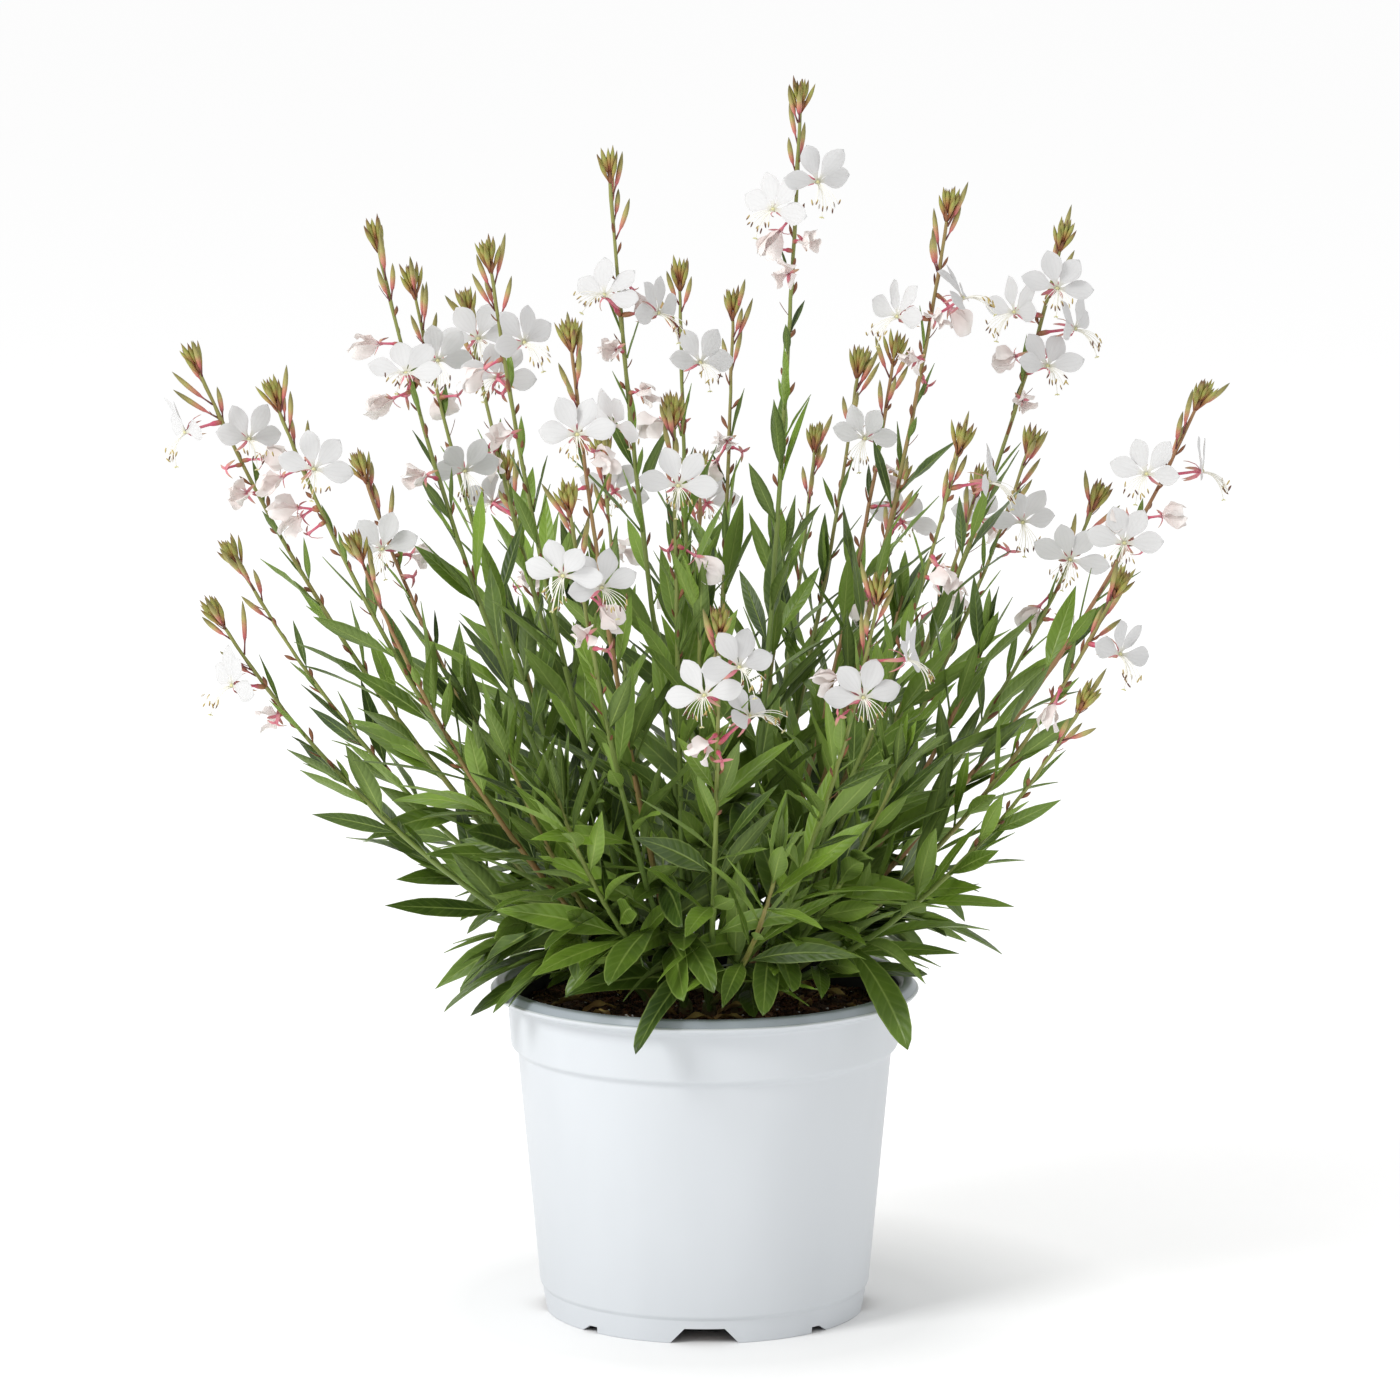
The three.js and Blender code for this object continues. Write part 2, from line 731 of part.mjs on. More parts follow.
// A flower past its best: a tube with its petals folded to a ragged tuft
function growFaded(skin, root, flower, stem, fat) {
  const course = heading(flower.bearing, flower.pitch);
  const right = rightOf(flower, stem, course);
  const top = course.clone().cross(right);
  const start = stem.point(flower.share);
  const tube = slimRing(skin, along(start, course, 9), course, right, 0.9 + fat);
  const tuft = slimRing(skin, along(start, course, 14), course, right, 2.8 + fat);
  const heart = skin.point(along(start, course, 15.5));
  skin.band(root, tube);
  skin.band(tube, tuft);
  for (let i = 0; i < 3; i += 1) {
    const angle = rad(90 + 120 * i);
    const out = right.clone().multiplyScalar(Math.cos(angle)).addScaledVector(top, Math.sin(angle));
    const tip = along(along(start, course, draw(flower.key + i, 19, 24) + fat), out, draw(flower.key + i + 0.4, 1, 4));
    tip.addScaledVector(UP, draw(flower.key + i + 0.3, -5, 0));
    skin.spike(tuft[i], tuft[(i + 1) % 3], heart, tip);
  }
}

// An open flower: four clawed petals in an upper fan and eight stamens that droop forwards from the hub
function bloomSolid(flower, stem, fat) {
  const skin = new Skin();
  const face = heading(flower.bearing, flower.pitch);
  const centre = flowerCentre(flower, stem);
  const rise = UP.clone().addScaledVector(face, -face.dot(UP)).normalize();
  rise.applyAxisAngle(face, rad(flower.roll));
  const across = face.clone().cross(rise);
  // A place in the flower: turned from the top by an angle, out by a radius, forwards by a depth.
  const place = (angle, radius, depth) =>
    centre
      .clone()
      .addScaledVector(rise, Math.cos(rad(angle)) * radius)
      .addScaledVector(across, Math.sin(rad(angle)) * radius)
      .addScaledVector(face, depth);
  const hub = HUB_ANGLES.map((angle) => skin.point(place(angle, HUB_RADIUS + fat, 0)));
  const front = skin.point(place(0, 0, PETAL_THICKNESS / 2 + fat));
  const back = skin.point(place(0, 0, -PETAL_THICKNESS / 2 - fat));
  for (let i = 4; i < hub.length; i += 1) {
    const next = (i + 1) % hub.length;
    const middle = HUB_ANGLES[i] + STAMEN_STEP / 2;
    const stretch = draw(flower.key + i * 0.31, 0.85, 1.15);
    const tip = place(middle, 7 * stretch, 9.5 * stretch).addScaledVector(rise, -4 * stretch);
    skin.spike(front, hub[i], hub[next], tip);
    skin.face(back, hub[next], hub[i]);
  }
  for (let petal = 0; petal < 4; petal += 1) {
    const key = flower.key + 10 + petal;
    const angle = [-82, -27, 27, 82][petal] + draw(key, -5, 5);
    const length = PETAL_LENGTH * draw(key + 0.2, 0.95, 1.05) + fat;
    const half = PETAL_HALF_WIDTH * draw(key + 0.4, 0.93, 1.07) + fat;
    const lift = draw(key + 0.6, -0.16, 0.22);
    const spot = (out, sideways, depth) => {
      const turned = place(angle, out, out * lift + depth);
      const sidewaysAxis = place(angle + 90, sideways, 0).sub(centre);
      return skin.point(turned.add(sidewaysAxis));
    };
    const outline = [
      hub[petal],
      spot(length * 0.6, -half, 0),
      spot(length, 0, 0),
      spot(length * 0.6, half, 0),
      hub[petal + 1],
    ];
    const upper = spot(length * 0.52, 0, PETAL_THICKNESS / 2 + fat);
    const under = spot(length * 0.52, 0, -PETAL_THICKNESS / 2 - fat);
    for (let i = 0; i < 4; i += 1) {
      skin.face(upper, outline[i], outline[i + 1]);
      skin.face(under, outline[i + 1], outline[i]);
    }
    skin.face(front, outline[0], upper);
    skin.face(front, upper, outline[4]);
    skin.face(back, under, outline[0]);
    skin.face(back, outline[4], under);
  }
  return skin.solid();
}

// Planting: each piece is turned, try by try, until it stands clear of its neighbours
const space = new Space();
const stems = SPRAYS.map(() => []);
const blooms = [];

function swing(attempt) {
  return (attempt % 2 ? 1 : -1) * Math.ceil(attempt / 2);
}

function plantWands(spray, owner) {
  space.add(owner, null, pegSolid(spray.bearing));
  spray.wands.forEach((wand, index) => {
    const root = along(crownPoint(spray.bearing), UP, 2);
    const stem = new Stem(root, at(...wand.tip), spray.bearing, owner * 37.1 + index * 7.3, true);
    space.add(owner, stem, stem.solid(CLEARANCE, FINE_STEP));
    stems[owner].push(stem);
  });
}

function plantShoots(spray, owner) {
  spray.shoots.forEach(([bearing, reach, height], index) => {
    const root = along(crownPoint(spray.bearing), UP, 2);
    for (let attempt = 0; attempt < TRIES; attempt += 1) {
      const tip = heading(bearing + swing(attempt) * 7, 0).multiplyScalar(reach).setZ(height);
      const stem = new Stem(root, tip, spray.bearing, owner * 37.1 + index * 7.3 + 23.9, false);
      if (!space.clear(stem.solid(CLEARANCE, FINE_STEP), (piece) => piece.owner === owner)) continue;
      space.add(owner, stem, stem.solid(CLEARANCE, FINE_STEP));
      stems[owner].push(stem);
      return;
    }
    throw new Error("no room for a shoot");
  });
}

// Seats an organ on its stem, or says that it doesn't fit.
function seat(organ, stem, owner) {
  const share = stem.ringShare(organ.share);
  const side = stem.freeSide(share, organ.bearing);
  if (side < 0) return false;
  const seated = { ...organ, share, side };
  if (organ.bloom) {
    const test = bloomSolid(seated, stem, CLEARANCE);
    if (!space.clear(test, () => false)) return false;
  }
  const skip = (piece) => piece.root === stem;
  const free = [-1, 1].every((raise) => space.clear(organSolid({ ...seated, raise }, stem, CLEARANCE), skip));
  if (!free) return false;
  space.add(owner, null, organSolid(seated, stem, 0));
  stem.organs.push(seated);
  if (organ.bloom) {
    const bloom = bloomSolid(seated, stem, 0);
    space.add("bloom", null, bloom);
    blooms.push(bloom);
  }
  return true;
}

function plantFlower(spec, stem, owner, key) {
  const [drop, bearing, pitch, stage] = spec;
  const open = stage === OPEN;
  for (let attempt = 0; attempt < TRIES * 2; attempt += 1) {
    const flower = {
      grow: open ? growTube : growFaded,
      bloom: open,
      share: stem.shareBelowTip(drop + (attempt % 3) * 4),
      bearing: bearing + swing(attempt) * 9,
      pitch: pitch + draw(key, -5, 5),
      reach: FLOWER_REACH + (attempt % 4),
      roll: draw(key + 0.1, -16, 16),
      key,
    };
    if (seat(flower, stem, owner)) return;
  }
  if (open) throw new Error("no room for a flower");
}

function plantBuds(stem, owner) {
  for (let i = 0; i < 2; i += 1) {
    for (let attempt = 0; attempt < TRIES; attempt += 1) {
      const key = stem.key + i * 0.77 + 0.4;
      const bud = {
        grow: growBud,
        share: stem.shareBelowTip(draw(key, 6, 14) + i * 12),
        bearing: draw(key + 0.2, 0, 360) + i * 160 + swing(attempt) * 25,
        lean: draw(key + 0.3, 14, 24),
        length: draw(key + 0.5, 14, 18),
      };
      if (seat(bud, stem, owner)) break;
    }
  }
}

function plantLeaf(leaf, stem, owner) {
  for (let attempt = 0; attempt < TRIES; attempt += 1) {
    const turned = {
      ...leaf,
      bearing: leaf.bearing + swing(attempt) * 15,
      lean: leaf.lean - (attempt % 3) * 5,
      droop: leaf.droop * (1 - attempt * 0.06),
    };
    if (seat(turned, stem, owner)) return;
  }
}

// Leaves up a stem, each a golden angle on from the last, shorter and steeper with height.
function plantStemLeaves(stem, owner, count, low, high) {
  for (let i = 0; i < count; i += 1) {
    const key = stem.key + i * 1.13;
    const height = (i + draw(key, 0.1, 0.9)) / count;
    const length = mix(66, 42, height) * draw(key + 0.4, 0.88, 1.12);
    const leaf = {
      grow: growLeaf,
      share: mix(low, high, height),
      bearing: stem.bearing + i * GOLDEN_ANGLE + draw(key + 0.2, -25, 25) + owner * 50,
      lean: mix(54, 27, height) + draw(key + 0.3, -8, 8),
      length,
      halfWidth: length * LEAF_SLENDERNESS,
      droop: mix(0.55, 0.1, height) * draw(key + 0.6, 0.5, 1.4),
      twist: draw(key + 0.7, -35, 35),
      broad: false,
    };
    plantLeaf(leaf, stem, owner);
  }
}

// Broad leaves from the crown that arch out over the rim.
function plantCrownLeaves(spray, owner) {
  for (let i = 0; i < CROWN_LEAVES; i += 1) {
    const key = owner * 5.7 + i * 1.9 + 300;
    const stem = stems[owner][i % stems[owner].length];
    const length = draw(key + 0.4, 62, 80);
    const leaf = {
      grow: growLeaf,
      share: draw(key, 0.08, 0.2),
      bearing: spray.bearing + (i - 1) * 34 + draw(key + 0.2, -12, 12),
      lean: draw(key + 0.3, 46, 68),
      length,
      halfWidth: length * 0.092,
      droop: draw(key + 0.5, 0.5, 0.95),
      twist: draw(key + 0.6, -20, 20),
      broad: true,
    };
    plantLeaf(leaf, stem, owner);
  }
}

function plantFlowers(stage) {
  SPRAYS.forEach((spray, owner) =>
    spray.wands.forEach((wand, index) =>
      wand.flowers.forEach((spec, slot) => {
        const stem = stems[owner][index];
        if (spec[3] === stage) plantFlower(spec, stem, owner, stem.key + slot * 2.3 + 60);
      }),
    ),
  );
}

function plantAll() {
  SPRAYS.forEach(plantWands);
  SPRAYS.forEach(plantShoots);
  plantFlowers(OPEN);
  plantFlowers(FADED);
  const each = (flowering, plant) =>
    stems.forEach((list, owner) =>
      list.filter((stem) => stem.flowering === flowering).forEach((stem) => plant(stem, owner)),
    );
  each(true, plantBuds);
  SPRAYS.forEach(plantCrownLeaves);
  each(false, (stem, owner) => plantStemLeaves(stem, owner, SHOOT_LEAVES, 0.25, 0.98));
  each(true, (stem, owner) => plantStemLeaves(stem, owner, WAND_LEAVES, 0.12, 0.62));
}

// The model
function meshOf(name, solid, material) {
  const mesh = new THREE.Mesh(geometryOf(solid), material);
  mesh.name = name;
  return mesh;
}

function numbered(word, index) {
  return `${word}_${String(index + 1).padStart(2, "0")}`;
}

const POT_MATERIAL = new THREE.MeshStandardMaterial({ color: 0xdfe4e8, roughness: 0.45, metalness: 0 });
const SOIL_MATERIAL = new THREE.MeshStandardMaterial({ color: 0x3a2a20, roughness: 0.95, metalness: 0 });
const LEAF_MATERIAL = new THREE.MeshStandardMaterial({ color: 0x4c7a36, roughness: 0.55, metalness: 0 });
const PETAL_MATERIAL = new THREE.MeshStandardMaterial({ color: 0xf8f7f4, roughness: 0.6, metalness: 0 });

const pot = potSolid();
const soil = soilSolid();
space.add("pot", null, pot);
space.add("soil", null, soil);
plantAll();

const plant = new THREE.Group();
plant.add(meshOf("pot", pot, POT_MATERIAL));
plant.add(meshOf("soil", soil, SOIL_MATERIAL));
stems.forEach((list, index) => {
  const peg = pegSolid(SPRAYS[index].bearing);
  const spray = list.reduce((whole, stem) => whole.add(stem.solid()), peg);
  plant.add(meshOf(numbered("spray", index), spray, LEAF_MATERIAL));
});
blooms.forEach((bloom, index) => {
  plant.add(meshOf(numbered("bloom", index), bloom, PETAL_MATERIAL));
});

export default plant;
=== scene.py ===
"""Dresses a whirling butterflies gaura in its nursery pot: pot, soil, stems, leaves, buds and flowers.

The growth rule is the one that the solids were grown with, replayed here, so each fine piece stands where its
solid stands. The rule works in millimetres; meshes are written in metres.
"""

from __future__ import annotations

import json
import logging
import math
from collections import defaultdict
from dataclasses import dataclass, field, replace
from enum import Enum
from typing import Any, Callable, Iterable, Iterator

import bmesh
import bpy
import numpy as np
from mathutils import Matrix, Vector, noise
from mathutils.kdtree import KDTree

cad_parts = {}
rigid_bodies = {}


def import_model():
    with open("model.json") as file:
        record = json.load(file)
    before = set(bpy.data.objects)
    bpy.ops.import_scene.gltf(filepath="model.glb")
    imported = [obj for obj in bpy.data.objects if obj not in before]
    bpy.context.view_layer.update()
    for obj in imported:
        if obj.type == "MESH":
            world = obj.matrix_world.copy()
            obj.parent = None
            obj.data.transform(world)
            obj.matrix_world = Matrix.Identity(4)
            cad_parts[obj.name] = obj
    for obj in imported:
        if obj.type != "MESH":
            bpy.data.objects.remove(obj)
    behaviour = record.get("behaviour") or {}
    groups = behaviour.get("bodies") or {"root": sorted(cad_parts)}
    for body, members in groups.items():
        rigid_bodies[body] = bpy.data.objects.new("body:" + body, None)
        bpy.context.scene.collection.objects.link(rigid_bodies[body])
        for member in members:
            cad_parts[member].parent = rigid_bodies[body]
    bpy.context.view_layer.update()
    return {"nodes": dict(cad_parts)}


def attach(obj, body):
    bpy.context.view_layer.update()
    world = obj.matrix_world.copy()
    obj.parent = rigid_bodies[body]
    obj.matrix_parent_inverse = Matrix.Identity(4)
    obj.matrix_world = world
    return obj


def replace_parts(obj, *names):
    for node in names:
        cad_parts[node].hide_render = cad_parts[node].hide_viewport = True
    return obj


log = logging.getLogger("gaura")

MM = 0.001
UP = np.array([0.0, 0.0, 1.0])
BODY = "root"
TIP_MATCH = 0.03 * MM

# The growth rule's sizes, in millimetres and degrees
STEM_SIDES = 4
RING_SPACING = 7.0
STEM_BASE_RADIUS = 1.8
STEM_TIP_RADIUS = 0.8
STEM_BOW = 0.13
PATH_STEPS = 200
SHOOT_END = 4.0
SEAT_FACING = 0.35
SEAT_DEPTH = 0.7
CROWN_RADIUS = 24.0
CROWN_HEIGHT = 139.0
CROWN_GAP = 2.0
FLOWER_REACH = 17.0
FLOWER_GAP = 0.3
PETAL_LENGTH = 17.6
PETAL_HALF_WIDTH = 4.9
PETAL_THICKNESS = 0.9
PETAL_ANGLES = (-82.0, -27.0, 27.0, 82.0)
STAMENS = 8
STAMEN_START = 110.0
STAMEN_STEP = 17.5
LEAF_BEND = 0.48
LEAF_SLENDERNESS = 0.086
BROAD_SLENDERNESS = 0.092
GOLDEN_ANGLE = 137.5
CROWN_LEAVES = 3
SHOOT_LEAVES = 6
SHOOT_SPAN = (0.25, 0.98)
WAND_LEAVES = 4
WAND_SPAN = (0.12, 0.62)
BUDS = 2
TRIES = 12

# How far an organ's tone shifts the waves of its edges, in radians
WAVE_SHIFT = 20.0

# How far a piece turns, in degrees, from one try to the next
SHOOT_SWING = 7
FLOWER_SWING = 9
LEAF_SWING = 15
BUD_SWING = 25

# What sets the draws of sprays, of wands and of shoots apart
SPRAY_KEY = 37.1
STEM_KEY = 7.3
SHOOT_KEY = 23.9

# The pot's and the soil's sizes, in millimetres
POT_HEIGHT = 148.0
RIM_RADIUS = 95.0
FOOT_RADIUS = 71.0
STEP_HEIGHT = 10.5
COLLAR_BOTTOM = 117.0
COLLAR_TOP = 140.8
WALL = 1.5
FLOOR_UNDERSIDE = 5.0
FLOOR_TOP = 6.5
SOIL_EDGE = 133.0
SOIL_MOUND = 4.0


class Stage(Enum):
    """How far a flower has come."""

    OPEN = "open"
    FADED = "faded"
    SPENT = "spent"


class Kind(Enum):
    """What grows on a stem."""

    LEAF = "leaf"
    BUD = "bud"
    FLOWER = "flower"


# Each spray: its bearing on the crown, its wands as (tip, flowers) and its shoots as (bearing, reach, height).
# A flower is its drop below the tip, its bearing, its pitch and its stage: O is open and F faded.
O, F = Stage.OPEN, Stage.FADED
SPRAYS = (
    (186, (
        ((-220, -10, 420), ((25, 200, -15, O), (35, 300, 10, O), (60, 245, 10, F))),
        ((-210, -35, 313), ((35, 215, 10, O),)),
        ((-141, -25, 475), ((65, 260, 35, O), (60, 185, -15, F), (105, 235, 10, F))),
    ), ((190, 105, 275),)),
    (157, (
        ((-208, 48, 327), ()),
        ((-154, 97, 360), ((35, 260, 10, O),)),
        ((-129, 54, 448), ((25, 290, -15, O), (75, 290, -15, O))),
    ), ((150, 95, 290),)),
    (212, (
        ((-183, -58, 410), ((30, 290, 10, O), (25, 205, -15, F), (50, 185, 10, F))),
        ((-146, -92, 349), ()),
        ((-91, -68, 470), ((35, 305, 10, O), (55, 110, 10, O), (75, 250, 10, F))),
    ), ((218, 110, 265),)),
    (250, (
        ((-56, -107, 440), ((40, 35, 10, O), (45, 265, 10, O))),
        ((-56, -145, 376), ((38, 300, 10, O), (25, 250, -15, O), (60, 265, 10, F))),
        ((-13, -87, 406), ((28, 275, 10, O),)),
    ), ((238, 120, 250),)),
    (275, (
        ((6, -184, 330), ((34, 250, 10, O), (58, 310, 35, O), (20, 300, 10, O))),
        ((-41, -15, 504), ((60, 240, 35, O), (58, 325, 10, O), (76, 250, 10, F), (94, 305, 10, F))),
    ), ((268, 75, 330), (284, 130, 225))),
    (308, (
        ((72, -154, 340), ((52, 280, 10, O), (28, 340, 10, O), (40, 200, 0, F))),
        ((108, -83, 394), ((18, 355, 10, O),)),
        ((41, -30, 535), ((46, 235, 10, O), (28, 300, -15, O), (58, 295, 10, F), (73, 260, 10, F))),
    ), ((315, 120, 262),)),
    (335, (
        ((175, -77, 331), ((25, 320, -15, O),)),
        ((159, -110, 287), ()),
        ((105, -20, 488), ((46, 210, 10, O), (46, 350, 35, O), (50, 280, 10, F), (64, 250, 10, F))),
    ), ((338, 85, 285),)),
    (8, (
        ((215, 0, 403), ((34, 240, 10, O), (34, 355, 10, O), (55, 335, 10, F), (67, 260, 10, O))),
        ((157, 34, 470), ((32, 220, 10, O), (22, 280, 10, O), (36, 325, 10, O), (54, 290, 10, O), (72, 280, 10, F))),
        ((174, 58, 351), ((25, 265, 10, O),)),
    ), ((4, 125, 300),)),
    (42, (
        ((147, 106, 371), ((28, 290, -15, O),)),
        ((85, 83, 415), ((31, 240, -15, O),)),
        ((126, 159, 346), ((20, 60, 10, O),)),
    ), ((36, 110, 310),)),
    (66, (
        ((70, 126, 404), ()),
        ((91, 176, 345), ((20, 60, 10, O),)),
        ((51, 159, 366), ()),
    ), ((64, 80, 330),)),
    (92, (
        ((13, 117, 432), ((58, 265, 10, F),)),
        ((-2, 187, 350), ((20, 80, 10, O),)),
        ((-11, 73, 449), ((37, 300, 10, O),)),
    ), ((96, 95, 320),)),
    (122, (
        ((-107, 107, 432), ((12, 280, 10, O),)),
        ((-92, 169, 352), ((20, 130, 10, O),)),
        ((-47, 180, 358), ((20, 80, 10, O),)),
    ), ((128, 90, 310),)),
)  # fmt: skip


# Numbers and directions


def draw(key: float, low: float = 0.0, high: float = 1.0) -> float:
    """A seeded draw between low and high: the same key always gives the same value."""
    value = math.sin(key * 12.9898 + 4.1414) * 43758.5453
    return low + (high - low) * (value - math.floor(value))


def mix(low: Any, high: Any, share: float) -> Any:
    """The value that lies a share of the way from low to high."""
    return low + (high - low) * share


def unit(vector: np.ndarray) -> np.ndarray:
    """The vector at length one."""
    return vector / np.linalg.norm(vector)


def square_to(vector: np.ndarray, axis: np.ndarray) -> np.ndarray:
    """The unit vector square to an axis that lies nearest to a vector."""
    return unit(vector - axis * float(vector @ axis))


def heading(bearing: float, pitch: float = 0.0) -> np.ndarray:
    """The unit vector of a bearing round +Z and a pitch above the level, in degrees."""
    turn, rise = math.radians(bearing), math.radians(pitch)
    return np.array([math.cos(turn) * math.cos(rise), math.sin(turn) * math.cos(rise), math.sin(rise)])


def outwards(tangent: np.ndarray, bearing: float) -> np.ndarray:
    """The unit vector square to a tangent that lies nearest to a bearing."""
    return square_to(heading(bearing), tangent)


def around(axis: np.ndarray, first: np.ndarray, angle: float) -> np.ndarray:
    """The direction square to an axis that lies an angle, in degrees, round from a first one."""
    turn = math.radians(angle)
    return first * math.cos(turn) + np.cross(axis, first) * math.sin(turn)


def petal_side(course: np.ndarray, right: np.ndarray, i: int) -> np.ndarray:
    """The direction of one of four petals or sepals round a course: three in thirds of a turn, one between."""
    return around(course, right, 90 + (120 * i if i < 3 else 60))


def swing(attempt: int) -> int:
    """0, 1, -1, 2, -2 and so on, for turning a piece to alternate sides."""
    return (1 if attempt % 2 else -1) * math.ceil(attempt / 2)


def shade(code: str) -> tuple[float, float, float]:
    """The linear colour of a six-digit screen colour."""
    parts = (int(code[i : i + 2], 16) / 255 for i in (0, 2, 4))
    return tuple(c / 12.92 if c <= 0.04045 else ((c + 0.055) / 1.055) ** 2.4 for c in parts)


# Nodes as Python sums


class Link:
    """A node's output that takes part in sums: numbers add Math nodes, and vectors add Vector Math nodes."""

    def __init__(self, board: Board, maker: Any, socket: Any) -> None:
        """Wraps one output socket of a node on a board."""
        self.board, self.maker, self.socket = board, maker, socket

    def of(self, name: str) -> Link:
        """Another output of the same node."""
        return Link(self.board, self.maker, self.board.find(self.maker.outputs, name))

    def call(self, operation: str, *others: Any) -> Link:
        """The result of a Math or Vector Math operation on this value and others.

        Args:
            operation: the node's name for the operation.
            others: the further values, as links, numbers or tuples.

        Returns:
            The operation's result.
        """
        return self.board.total(operation, self, *others)

    def __add__(self, other: Any) -> Link:
        """Self plus other."""
        return self.board.total("ADD", self, other)

    __radd__ = __add__

    def __sub__(self, other: Any) -> Link:
        """Self less other."""
        return self.board.total("SUBTRACT", self, other)

    def __rsub__(self, other: Any) -> Link:
        """Other less self."""
        return self.board.total("SUBTRACT", other, self)

    def __mul__(self, other: Any) -> Link:
        """Self times other."""
        return self.board.total("MULTIPLY", self, other)

    __rmul__ = __mul__

    def __truediv__(self, other: Any) -> Link:
        """Self over other."""
        return self.board.total("DIVIDE", self, other)

    def __rtruediv__(self, other: Any) -> Link:
        """Other over self."""
        return self.board.total("DIVIDE", other, self)

    def __neg__(self) -> Link:
        """Less self."""
        return self * -1.0

    def __abs__(self) -> Link:
        """The size of self."""
        return self.call("ABSOLUTE")

    def sine(self) -> Link:
        """The sine of self, in radians."""
        return self.call("SINE")

    def within(self, low: float = 0.0, high: float = 1.0) -> Link:
        """Self, held between two numbers."""
        return self.board.node("ShaderNodeClamp", {}, {"Value": self, "Min": low, "Max": high})

    def part(self, axis: str) -> Link:
        """One of a vector's parts: X, Y or Z."""
        return self.board.node("ShaderNodeSeparateXYZ", {}, {"Vector": self}).of(axis)


class Board:
    """Adds nodes to one tree, of a material or of geometry."""

    def __init__(self, tree: bpy.types.NodeTree) -> None:
        """Starts on an empty tree."""
        self.tree = tree
        self.shading = tree.bl_idname == "ShaderNodeTree"

    @staticmethod
    def find(sockets: Any, name: str | int) -> Any:
        """The enabled socket of that name or place."""
        live = [s for s in sockets if s.enabled]
        return live[name] if isinstance(name, int) else next(s for s in live if s.name == name)

    def feed(self, socket: Any, value: Any) -> None:
        """Links a value to a socket, or sets the socket's own value."""
        if isinstance(value, Link):
            self.tree.links.new(value.socket, socket)
        elif socket.type == "VECTOR" and isinstance(value, (int, float)):
            socket.default_value = (value,) * 3
        elif socket.type == "RGBA" and len(value) == 3:
            socket.default_value = (*value, 1.0)
        else:
            socket.default_value = value

    def node(self, kind: str, settings: dict | None = None, inputs: dict | None = None) -> Link:
        """Adds a node.

        Args:
            kind: the node's type.
            settings: its properties, and "stops" for a colour ramp's places and colours.
            inputs: values or links for its sockets, by name or place.

        Returns:
            Its first output.
        """
        made = self.tree.nodes.new(kind)
        for name, value in (settings or {}).items():
            if name == "stops":
                self._set_stops(made.color_ramp, value)
            else:
                setattr(made, name, value)
        for name, value in (inputs or {}).items():
            self.feed(self.find(made.inputs, name), value)
        return Link(self, made, next((s for s in made.outputs if s.enabled), None))

    @staticmethod
    def _set_stops(ramp: Any, stops: list) -> None:
        """Gives a ramp its places and colours."""
        while len(ramp.elements) < len(stops):
            ramp.elements.new(1.0)
        for element, (place, colour) in zip(ramp.elements, stops):
            element.position = place
            element.color = (*colour, 1.0)

    def total(self, operation: str, *values: Any) -> Link:
        """A Math node, or a Vector Math node where a value is a vector."""
        vector = any(
            isinstance(v, tuple) or (isinstance(v, Link) and v.socket.type in ("VECTOR", "RGBA")) for v in values
        )
        kind = "ShaderNodeVectorMath" if vector else "ShaderNodeMath"
        return self.node(kind, {"operation": operation}, dict(enumerate(values)))

    def stored(self, name: str, kind: str = "FLOAT_VECTOR") -> Link:
        """An attribute of the mesh."""
        if self.shading:
            made = self.node("ShaderNodeAttribute", {"attribute_name": name})
            return made.of("Vector" if kind == "FLOAT_VECTOR" else "Fac")
        return self.node("GeometryNodeInputNamedAttribute", {"data_type": kind}, {"Name": name})

    def blend(self, share: Any, first: Any, second: Any) -> Link:
        """A colour that lies a share of the way from a first to a second."""
        return self.node("ShaderNodeMix", {"data_type": "RGBA"}, {"Factor": share, "A": first, "B": second})

    def ramp(self, share: Any, *stops: tuple[float, str]) -> Link:
        """A colour from a ramp of places and screen colours."""
        return self.node(
            "ShaderNodeValToRGB", {"stops": [(place, shade(code)) for place, code in stops]}, {"Fac": share}
        )

    def grain(self, scale: float, detail: float = 2.0, stretch: tuple = (1.0, 1.0, 1.0)) -> Link:
        """Noise over the piece's own place, in metres."""
        place = self.node("ShaderNodeTexCoord").of("Object")
        return self.node(
            "ShaderNodeTexNoise", {}, {"Vector": place * stretch, "Scale": scale, "Detail": detail}
        )


# Finishes


